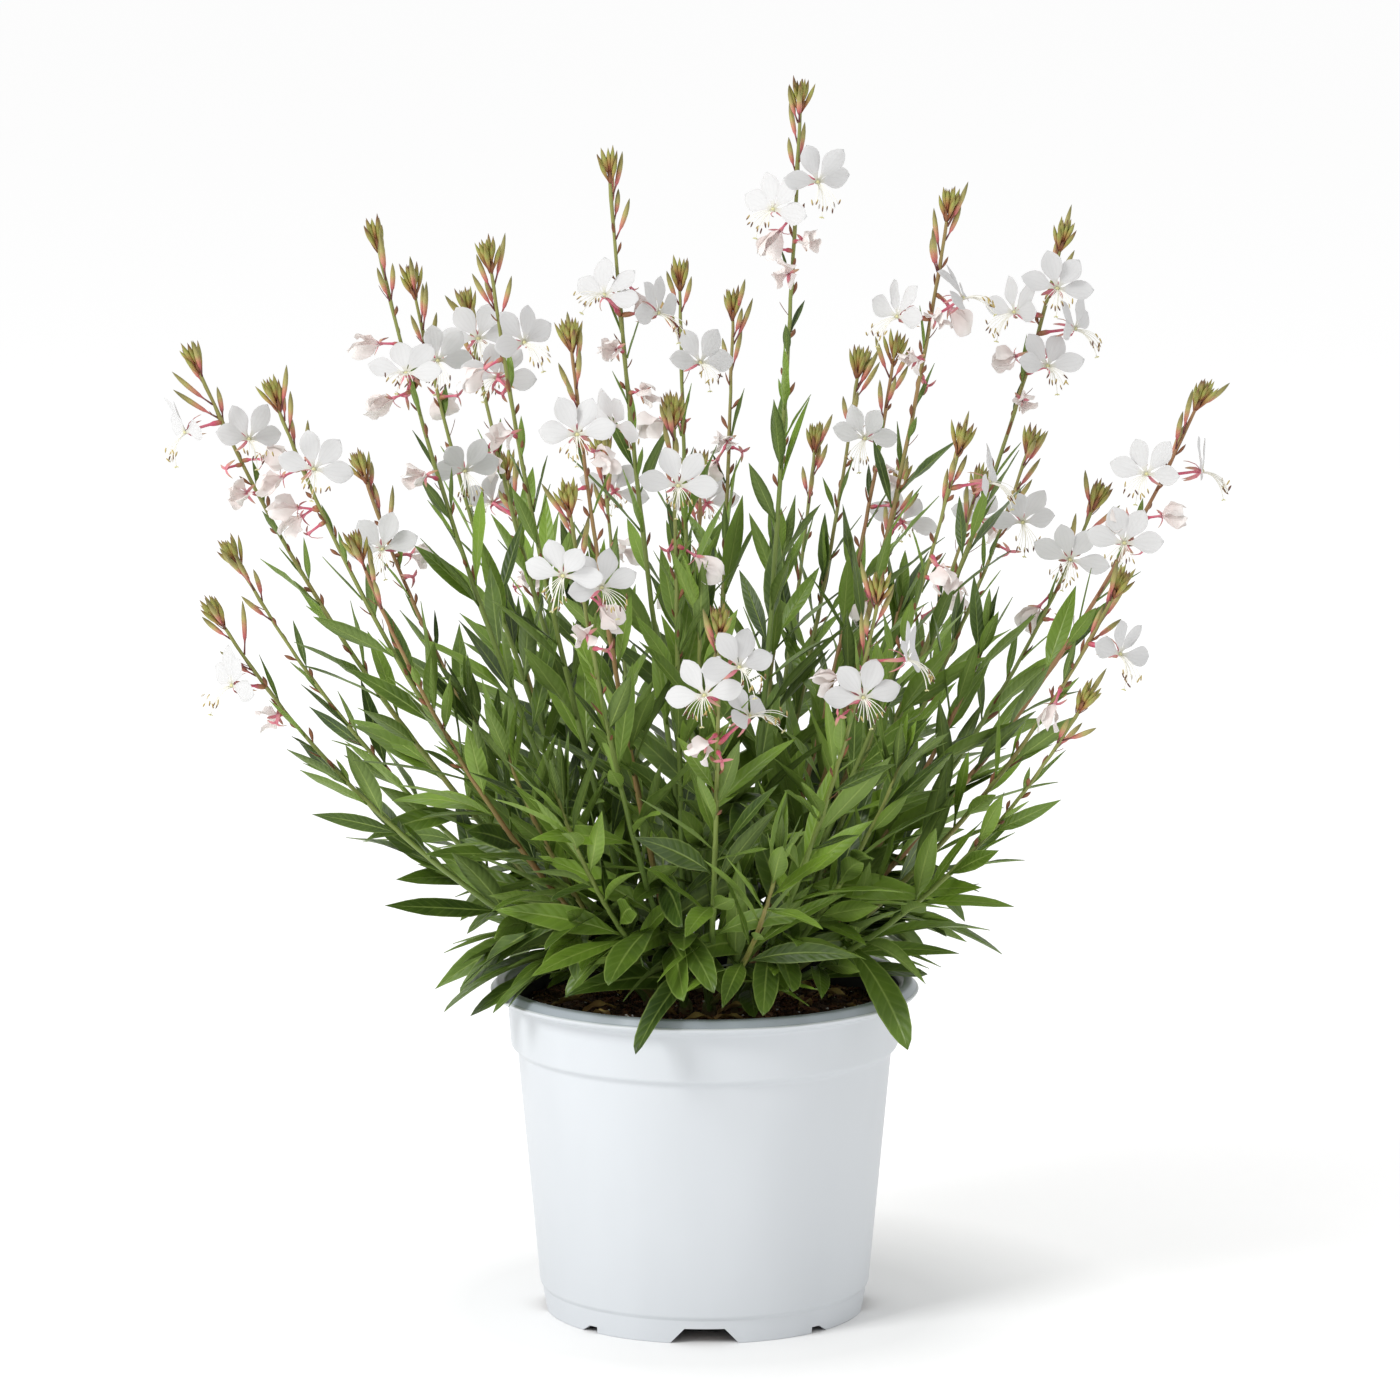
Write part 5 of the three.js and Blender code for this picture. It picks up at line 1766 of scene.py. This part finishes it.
    def build(self, stem_tree: StemTree, tree: PathTree) -> bpy.types.Object:
        """Skins the stems, lays what they carry and joins it all."""
        made: Groups = defaultdict(list)
        for stem in self.stems:
            if stem.flowering:
                self._head(stem, made)
                self._pods(stem, made)
            for organ in [*self._buds_on(stem), *stem.organs, *self._spent_on(stem)]:
                if organ.kind is Kind.BUD:
                    self._bud(organ, stem, made)
                elif organ.kind is Kind.FLOWER:
                    add = self._carried if organ.stage is Stage.OPEN else self._past
                    add(organ, stem, made)
        made["crown"].append(self._crown())
        parts = [stem_tree.skin("skins", [self._line(s) for s in self.stems], self.sides)]
        plan = (
            ("heads", Forms.bud, Looks.head),
            ("buds", Forms.stalked_bud, Looks.bud),
            ("bracts", Forms.strap, Looks.bract),
            ("pods", Forms.bud, Looks.bract),
            ("tubes", Forms.tube, Looks.tube),
            ("sepals", Forms.strap, Looks.sepal),
            ("faded", Forms.petal, Looks.faded, 1.7),
            ("crown", Forms.grain, Looks.crown),
        )
        parts += [tree.lay(name, made[name], *look) for name, *look in plan if made[name]]
        buds = len(made["heads"]) + len(made["buds"])
        log.info("stems_%02d: %d stems, %d buds", self.number, len(self.stems), buds)
        return join(f"stems_{self.number:02d}", parts)

    def _crown(self) -> Strand:
        """The woody crown at the spray's foot."""
        foot = heading(self.stems[0].bearing) * CROWN_RADIUS + UP * (CROWN_HEIGHT - self.crown_depth)
        return cord((foot, foot + UP * self.crown_rise), heading(0), self.crown_radius, 0.3)


@dataclass(frozen=True)
class Face:
    """An open flower's middle and its own directions."""

    centre: np.ndarray
    ahead: np.ndarray
    rise: np.ndarray
    across: np.ndarray

    @staticmethod
    def of(flower: Organ, stem: Stem) -> Face:
        """The face of one flower on its stem."""
        ahead = heading(flower.bearing, flower.pitch)
        rise = around(ahead, square_to(UP, ahead), flower.roll)
        return Face(stem.flower_centre(flower), ahead, rise, np.cross(ahead, rise))

    def side(self, angle: float) -> np.ndarray:
        """The direction out from the middle, turned from the top."""
        turn = math.radians(angle)
        return self.rise * math.cos(turn) + self.across * math.sin(turn)

    def place(self, angle: float, radius: float, depth: float) -> np.ndarray:
        """A place in the flower: turned from the top, out by a radius and forwards by a depth."""
        return self.centre + self.side(angle) * radius + self.ahead * depth


@dataclass
class Flowers:
    """The open flowers of one spray."""

    blooms: list[Bloom]
    number: int
    petal_thickness: float = 0.17
    petal_trim: float = 0.975
    filament_radius: float = 0.19
    anther_length: float = 2.6
    anther_radius: float = 0.36
    style_radius: float = 0.26
    lobe_radius: float = 0.3
    heart_radius: float = 1.05

    def _petal(self, face: Face, rest: float, key: float) -> Strand:
        """One petal, at its rest angle from the top."""
        angle = rest + draw(key, -5, 5)
        length = PETAL_LENGTH * draw(key + 0.2, 0.95, 1.05) * self.petal_trim
        lift, bulge = draw(key + 0.6, -0.16, 0.22), draw(key + 0.8, -1.1, 1.6)
        return Strand(
            Path.of(
                face.place(angle, 0.7, 0.1),
                face.place(angle, length * 0.34, length * 0.34 * lift + bulge),
                face.place(angle, length * 0.68, length * 0.68 * lift + bulge * 0.8),
                face.place(angle, length, length * lift),
            ),
            face.side(angle + 90),
            PETAL_HALF_WIDTH * draw(key + 0.4, 0.93, 1.07),
            self.petal_thickness,
            turn=draw(key + 0.9, -14, 14),
            cup=draw(key + 1.1, -0.12, 0.2),
            wave=draw(key + 1.3, 0.03, 0.14),
            tone=draw(key + 1.5),
        )

    def _stamen(self, face: Face, middle: float, stretch: float, key: float, made: Groups) -> None:
        """Adds a filament, which droops forwards, and its anther."""
        path = Path.of(
            face.place(middle, 0.8, 0.2),
            face.place(middle, 1.6, 4.5 * stretch),
            face.place(middle, 4.8 * stretch, 8.2 * stretch) - face.rise * 1.2 * stretch,
            face.place(middle, 7 * stretch, 8.95 * stretch) - face.rise * 4 * stretch,
        )
        right = square_to(face.rise, path.tangent(0.5))
        made["threads"].append(Strand(path, right, self.filament_radius, self.filament_radius))
        ahead = unit(path.tangent(1) + heading(draw(key, 0, 360), draw(key + 0.2, -80, 10)) * 0.9)
        ends = (path.at(1) - ahead * (self.anther_length + 0.3), path.at(1) - ahead * 0.3)
        made["anthers"].append(cord(ends, square_to(face.rise, ahead), self.anther_radius, draw(key + 0.4)))

    def _style(self, face: Face, made: Groups) -> None:
        """Adds the style with its four lobes, and the flower's heart."""
        tip = face.place(180, 9, 7.6) - face.rise * 4.5
        points = (face.place(180, 0.3, 0), face.place(180, 1.5, 4.5), face.place(180, 5, 7.5) - face.rise, tip)
        made["threads"].append(cord(points, face.across, self.style_radius))
        ahead = Path.of(*points).tangent(1)
        for quarter in range(4):
            out = around(ahead, square_to(face.across, ahead), quarter * 90 + 45)
            made["hearts"].append(cord((tip, tip + out * 1.1 + ahead * 0.4), face.across, self.lobe_radius))
        ends = (face.place(0, 0, -0.9), face.place(0, 0, 0.9))
        made["hearts"].append(cord(ends, face.across, self.heart_radius))

    def build(self, tree: PathTree) -> bpy.types.Object:
        """Lays every part of the spray's flowers and joins them."""
        made: Groups = defaultdict(list)
        for bloom in self.blooms:
            key = bloom.flower.key
            face = Face.of(bloom.flower, bloom.stem)
            made["petals"] += [self._petal(face, rest, key + 10 + i) for i, rest in enumerate(PETAL_ANGLES)]
            for i in range(STAMENS):
                middle, salt = STAMEN_START + (i + 0.5) * STAMEN_STEP, len(PETAL_ANGLES) + i
                self._stamen(face, middle, draw(key + salt * 0.31, 0.85, 1.15), key + salt, made)
            self._style(face, made)
        parts = [
            tree.lay("petals", made["petals"], Forms.petal, Looks.petal, 1.4),
            tree.lay("threads", made["threads"], Forms.thread, Looks.filament),
            tree.lay("anthers", made["anthers"], Forms.grain, Looks.anther),
            tree.lay("hearts", made["hearts"], Forms.grain, Looks.heart),
        ]
        log.info("flowers_%02d: %d flowers", self.number, len(self.blooms))
        return join(f"flowers_{self.number:02d}", parts)

    def dress(self, piece: bpy.types.Object) -> None:
        """Gives the piece its body and the nodes that it stands for."""
        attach(piece, BODY)
        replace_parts(piece, *(bloom.node for bloom in self.blooms))

# The pot and its soil


def lathe(rows: list[tuple[float, float]], segments: int) -> tuple[list, list, list]:
    """Turns a profile of (radius, height) round the axis.

    Args:
        rows: the profile, whose faces look outwards when it runs upwards; a row on the axis is a single point.
        segments: how many steps a turn has.

    Returns:
        Points in metres, faces, and the band that each face belongs to.
    """
    points, faces, bands, rings = [], [], [], []
    for radius, height in rows:
        if radius == 0:
            rings.append([len(points)] * segments)
            points.append((0.0, 0.0, height * MM))
            continue
        rings.append(list(range(len(points), len(points) + segments)))
        turns = (2 * math.pi * i / segments for i in range(segments))
        points.extend((radius * math.cos(t) * MM, radius * math.sin(t) * MM, height * MM) for t in turns)
    for band, (low, high) in enumerate(zip(rings, rings[1:])):
        for i in range(segments):
            nxt = (i + 1) % segments
            faces.append(tuple(dict.fromkeys((low[i], low[nxt], high[nxt], high[i]))))
            bands.append(band)
    return points, faces, bands


def rounded(rows: list[tuple[float, float, float]]) -> list[tuple[float, float, int]]:
    """Rounds a profile's corners.

    Args:
        rows: radius, height and the size of the corner's rounding.

    Returns:
        Radius, height and the number of the row that each point comes from.
    """
    done = []
    for i, (radius, height, size) in enumerate(rows):
        here = np.array([radius, height])
        if size <= 0 or i in (0, len(rows) - 1):
            done.append((radius, height, i))
            continue
        before, after = (np.array(rows[j][:2]) - here for j in (i - 1, i + 1))
        before *= min(size / np.linalg.norm(before), 0.45)
        after *= min(size / np.linalg.norm(after), 0.45)
        for share in (0.0, 0.25, 0.5, 0.75, 1.0):
            point = here + before * (1 - share) ** 2 + after * share**2
            done.append((float(point[0]), float(point[1]), i))
    return done


@dataclass
class Pot:
    """The nursery pot, turned from its profile, with drain notches and nicks cut in its foot."""

    segments: int = 160
    grey_from: int = 11
    grey_to: int = 14
    drain_low: float = 30.0
    drain_high: float = 17.6
    drain_height: float = 6.8
    nick_width: float = 9.0
    nick_height: float = 3.0
    sharp_from: float = 38.0

    def _profile(self) -> list[tuple[float, float, float]]:
        """Radius, height and rounding of each corner, from under the floor round the rim to the floor's top."""
        return [
            (0, FLOOR_UNDERSIDE, 0),
            (FOOT_RADIUS - 1.8, FLOOR_UNDERSIDE, 0.4),
            (FOOT_RADIUS - 1.8, 0, 0.3),
            (FOOT_RADIUS, 0, 0.5),
            (FOOT_RADIUS + 1, STEP_HEIGHT, 0.5),
            (FOOT_RADIUS + 2.2, STEP_HEIGHT + 1.5, 0.8),
            (RIM_RADIUS - 12.1, COLLAR_BOTTOM, 1.4),
            (RIM_RADIUS - 9.2, COLLAR_BOTTOM + 2.5, 1.2),
            (RIM_RADIUS - 7.8, COLLAR_TOP - 0.4, 1.4),
            (RIM_RADIUS - 0.9, COLLAR_TOP + 2.2, 0.5),
            (RIM_RADIUS, POT_HEIGHT - 3.6, 0.5),
            (RIM_RADIUS - 1.2, POT_HEIGHT - 2.9, 0.3),
            (RIM_RADIUS - 3.0, POT_HEIGHT, 1.0),
            (RIM_RADIUS - 6.7, POT_HEIGHT, 0.8),
            (RIM_RADIUS - 8.8, POT_HEIGHT - 2.2, 0.8),
            (RIM_RADIUS - 9.2 - WALL + 0.3, COLLAR_BOTTOM + 4.5, 1.0),
            (RIM_RADIUS - 12.1 - WALL, COLLAR_BOTTOM - 0.3, 1.0),
            (FOOT_RADIUS - 0.6, FLOOR_TOP, 1.0),
            (0, FLOOR_TOP, 0),
        ]

    def _cutter(self, outline: list[tuple[float, float]], bearing: float) -> tuple[list, list]:
        """A prism that runs out through the foot."""
        side = heading(bearing + 90)
        points = []
        for out in (FOOT_RADIUS - 13, FOOT_RADIUS + 7):
            points.extend((heading(bearing) * out + side * across + UP * z) * MM for across, z in outline)
        n = len(outline)
        faces = [tuple(reversed(range(n))), tuple(range(n, 2 * n))]
        faces += [(i, (i + 1) % n, n + (i + 1) % n, n + i) for i in range(n)]
        return points, faces

    def _cutters(self) -> bpy.types.Object:
        """All of the foot's cuts as one object."""
        low, high = self.drain_low / 2, self.drain_high / 2
        drain = [(-low - 1, -1), (low + 1, -1), (high, self.drain_height), (-high, self.drain_height)]
        half = self.nick_width / 2
        nick = [(-half, -1), (half + 2, -1), (0, self.nick_height), (-half, self.nick_height)]
        points, faces = [], []
        for quarter in range(4):
            bearing = 270 + quarter * 90
            flip = -1 if quarter % 2 else 1
            turned = [(across * flip, z) for across, z in nick]
            for outline, angle in ((drain, bearing), (turned, bearing + 45)):
                more, sides = self._cutter(outline, angle)
                faces += [tuple(len(points) + i for i in side) for side in sides]
                points += more
        mesh = plain_mesh("cuts", points, faces)
        shell = bmesh.new()
        shell.from_mesh(mesh)
        bmesh.ops.recalc_face_normals(shell, faces=shell.faces)
        shell.to_mesh(mesh)
        shell.free()
        return stand("cuts", mesh)

    def build(self) -> bpy.types.Object:
        """Turns the pot and cuts its foot."""
        rows = rounded(self._profile())
        points, faces, bands = lathe([(r, z) for r, z, _ in rows], self.segments)
        mesh = plain_mesh("pot_body", points, faces)
        for finish in (Looks.pot, Looks.pot_rim, Looks.pot_inside):
            mesh.materials.append(finish.material())
        for face, band in zip(mesh.polygons, bands):
            first, second = rows[band][2], rows[band + 1][2]
            if self.grey_from <= first and second <= self.grey_to:
                face.material_index = 1
            # Inner wall and floor top are near-black; the floor's underside gets the same near-black as painted
            # shade under the pot
            elif first >= self.grey_to or second <= 1:
                face.material_index = 2
        pot = stand("pot_body", mesh)
        cuts = self._cutters()
        carve = pot.modifiers.new("foot", "BOOLEAN")
        carve.operation, carve.solver, carve.object = "DIFFERENCE", "EXACT", cuts
        bake_modifiers(pot)
        bpy.data.objects.remove(cuts)
        pot.data.shade_smooth()
        pot.data.set_sharp_from_angle(angle=math.radians(self.sharp_from))
        log.info("pot_body: %d faces", len(pot.data.polygons))
        return pot

    def dress(self, piece: bpy.types.Object) -> None:
        """Gives the pot its body and the node that it stands for."""
        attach(piece, BODY)
        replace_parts(piece, "pot")


class ScatterTree(Tree):
    """Strews turned and stretched grains over a mesh."""

    def __init__(self) -> None:
        """Builds the tree."""
        sizes = {"Smallest": "Vector", "Largest": "Vector", "Tilt": "Float"}
        super().__init__("strew_grains", Grain="Object", Density="Float", Seed="Int", **sizes)
        board, given = self.board, self.given
        seed, tilt = given.of("Seed"), given.of("Tilt")
        inputs = {"Mesh": given, "Density": given.of("Density"), "Seed": seed}
        spread = board.node("GeometryNodeDistributePointsOnFaces", {}, inputs)
        size = self._random(given.of("Smallest"), given.of("Largest"), seed)
        least = board.node("ShaderNodeCombineXYZ", {}, {"X": -tilt, "Y": -tilt, "Z": -math.pi})
        most = board.node("ShaderNodeCombineXYZ", {}, {"X": tilt, "Y": tilt, "Z": math.pi})
        turn = self._random(least, most, seed + 7.0)
        turn = board.node("FunctionNodeEulerToRotation", {}, {"Euler": turn})
        self.close(self.copies_of("Grain", spread.of("Points"), Rotation=turn, Scale=size))

    def _random(self, low: Link, high: Link, seed: Link) -> Link:
        """A random vector between two others."""
        return self.board.node(
            "FunctionNodeRandomValue", {"data_type": "FLOAT_VECTOR"}, {"Min": low, "Max": high, "Seed": seed}
        )


@dataclass(frozen=True)
class Grain:
    """One sort of grain on the soil: how many to a square metre, and its smallest and largest size."""

    name: str
    finish: Finish
    lump: int
    density: float
    seed: int
    smallest: tuple[float, float, float]
    largest: tuple[float, float, float]
    tilt: float

    def strew(self, scatter: ScatterTree, ground: bpy.types.Mesh, lumps: list) -> bpy.types.Object:
        """Strews the grains over a ground mesh, as copies of one of the lumps."""
        return scatter.grow(
            self.name,
            ground.copy(),
            self.finish,
            Grain=lumps[self.lump],
            Density=self.density,
            Seed=self.seed,
            Smallest=tuple(size * MM for size in self.smallest),
            Largest=tuple(size * MM for size in self.largest),
            Tilt=self.tilt,
        )


@dataclass
class Soil:
    """The plug of potting mix, with crumbs, bark and perlite strewn over it."""

    segments: int = 96
    rings: int = 44
    edge_radius: float = 84.4
    mound_radius: float = 84.0
    bump_height: float = 0.7
    crumb_size: float = 7.0
    crumb_height: float = 1.3
    lump_seeds: tuple[int, ...] = (11, 53)
    grains: tuple[Grain, ...] = (
        Grain("soil_crumbs", Looks.crumb, 0, 90000.0, 3, (0.6, 0.6, 0.5), (2.8, 2.4, 1.8), 3.0),
        Grain("bark_chips", Looks.bark, 1, 17000.0, 8, (2.0, 1.0, 0.6), (12.0, 4.2, 2.4), 0.6),
        Grain("perlite_grains", Looks.perlite, 0, 4200.0, 21, (0.8, 0.8, 0.7), (2.4, 2.2, 2.0), 3.0),
    )

    def _height(self, radius: float, turn: float) -> float:
        """The soil's height at a radius and a bearing in radians."""
        mound = SOIL_MOUND * math.cos(min(radius / self.mound_radius, 1.0) * math.pi / 2)
        bumps = math.sin(radius * 0.31 + turn * 3) + math.sin(radius * 0.17 - turn * 5)
        x, y = radius * math.cos(turn), radius * math.sin(turn)
        rough = noise.fractal(Vector((x / self.crumb_size, y / self.crumb_size, 3.7)), 0.8, 2.1, 4)
        return SOIL_EDGE + mound + self.bump_height * bumps + self.crumb_height * rough

    @staticmethod
    def _lump(seed: int) -> bpy.types.Object:
        """A rough grain about one metre across."""
        shell = bmesh.new()
        bmesh.ops.create_icosphere(shell, subdivisions=1, radius=0.5)
        for i, vertex in enumerate(shell.verts):
            vertex.co *= draw(seed + i * 0.37, 0.7, 1.15)
        mesh = bpy.data.meshes.new(f"form_lump_{seed}")
        shell.to_mesh(mesh)
        shell.free()
        return stand(mesh.name, mesh)

    def build(self) -> list[bpy.types.Object]:
        """Builds the plug and everything strewn on it."""
        low, base = FOOT_RADIUS - 1.9, FLOOR_TOP + 0.6
        side = [(0, base), (low, base), (RIM_RADIUS - 14.9, COLLAR_BOTTOM - 0.3), (self.edge_radius - 0.9, 121.5)]
        top = [(self.edge_radius * (1 - i / self.rings), SOIL_EDGE) for i in range(self.rings + 1)]
        points, faces, bands = lathe(side + top, self.segments)
        for i in range(1 + (len(side) - 1) * self.segments, len(points)):
            x, y, _ = points[i]
            points[i] = (x, y, self._height(math.hypot(x, y) / MM, math.atan2(y, x)) * MM)
        mesh = plain_mesh("soil_bed", points, faces)
        mesh.materials.append(Looks.soil.material())
        mesh.shade_smooth()
        ground = plain_mesh("ground", points, [face for face, band in zip(faces, bands) if band >= len(side)])
        scatter, lumps = ScatterTree(), [self._lump(seed) for seed in self.lump_seeds]
        strewn = [grain.strew(scatter, ground, lumps) for grain in self.grains]
        log.info("soil: %s faces strewn", [len(piece.data.polygons) for piece in strewn])
        return [stand("soil_bed", mesh), *strewn]

    def dress(self, pieces: list[bpy.types.Object]) -> None:
        """Gives the soil's pieces their body and the node that the plug stands for."""
        for piece in pieces:
            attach(piece, BODY)
        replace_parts(pieces[0], "soil")
        for piece in pieces[:3]:
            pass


# The studio


@dataclass(frozen=True)
class Lamp:
    """A square soft light that looks at a point, in metres and watts."""

    name: str
    place: tuple[float, float, float]
    aim: tuple[float, float, float]
    size: float
    power: float

    def build(self) -> None:
        """Sets up the light."""
        data = bpy.data.lights.new(self.name, "AREA")
        data.size, data.energy = self.size, self.power
        lamp = stand(self.name, data)
        lamp.location = self.place
        lamp.rotation_euler = (Vector(self.aim) - Vector(self.place)).to_track_quat("-Z", "Y").to_euler()


@dataclass
class Studio:
    """A plain pale floor, soft light and the camera at the photograph's angle."""

    distance: float = 2.76
    aside: float = -0.002
    height: float = 0.709
    tilt: float = 8.98
    lens: float = 163.3
    sensor: float = 36.0
    sky: float = 0.8
    floor_half: float = 30.0
    lamps: tuple[Lamp, ...] = (
        Lamp("key", (-1.7, -1.5, 1.9), (0.0, 0.0, 0.25), size=0.9, power=43.0),
        Lamp("back", (-0.9, 1.9, 1.9), (0.0, 0.0, 0.3), size=1.2, power=5.0),
    )

    def _floor(self) -> None:
        """A wide pale floor."""
        half = self.floor_half
        edge = [(-half, -half, 0), (half, -half, 0), (half, half, 0), (-half, half, 0)]
        floor = stand("floor", plain_mesh("floor", edge, [(0, 1, 2, 3)]))
        floor.data.materials.append(Looks.floor.material())

    def _camera(self) -> None:
        """The camera, level with the plant and looking down a little."""
        data = bpy.data.cameras.new("camera")
        data.lens, data.sensor_width = self.lens, self.sensor
        data.clip_start, data.clip_end = 0.1, 100.0
        camera = stand("camera", data)
        camera.location = (self.aside, -self.distance, self.height)
        camera.rotation_euler = (math.radians(90 - self.tilt), 0.0, 0.0)
        bpy.context.scene.camera = camera

    def build(self) -> None:
        """Sets the floor, the lights, the world and the camera."""
        self._floor()
        world = bpy.data.worlds.new("studio")
        world.use_nodes = True
        world.node_tree.nodes.clear()
        board = Board(world.node_tree)
        sky = board.node("ShaderNodeBackground", {}, {"Color": (1.0, 1.0, 1.0), "Strength": self.sky})
        board.node("ShaderNodeOutputWorld", {}, {"Surface": sky})
        bpy.context.scene.world = world
        for lamp in self.lamps:
            lamp.build()
        self._camera()
        bpy.context.scene.view_settings.view_transform = "Standard"


def main() -> None:
    """Builds the dressed plant around its frame."""
    logging.basicConfig(level=logging.INFO, format="%(name)s: %(message)s")
    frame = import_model()
    growth = Growth(frame["nodes"])
    organs = sum(len(stem.organs) for stems in growth.stems for stem in stems)
    log.info("growth: %d organs and %d flowers found, %d left out", organs, len(growth.blooms), growth.left_out)
    pot = Pot()
    pot.dress(pot.build())
    soil = Soil()
    soil.dress(soil.build())
    tree, stem_tree = PathTree(), StemTree()
    for number, stems in enumerate(growth.stems, 1):
        wood = Stems(stems, number)
        wood.dress(wood.build(stem_tree, tree))
        foliage = Foliage(stems, number)
        foliage.dress(foliage.build(tree))
        flowers = Flowers([bloom for bloom in growth.blooms if bloom.stem.owner == number - 1], number)
        flowers.dress(flowers.build(tree))
    Forms.clear_away()
    Studio().build()


if __name__ == "__main__":
    main()
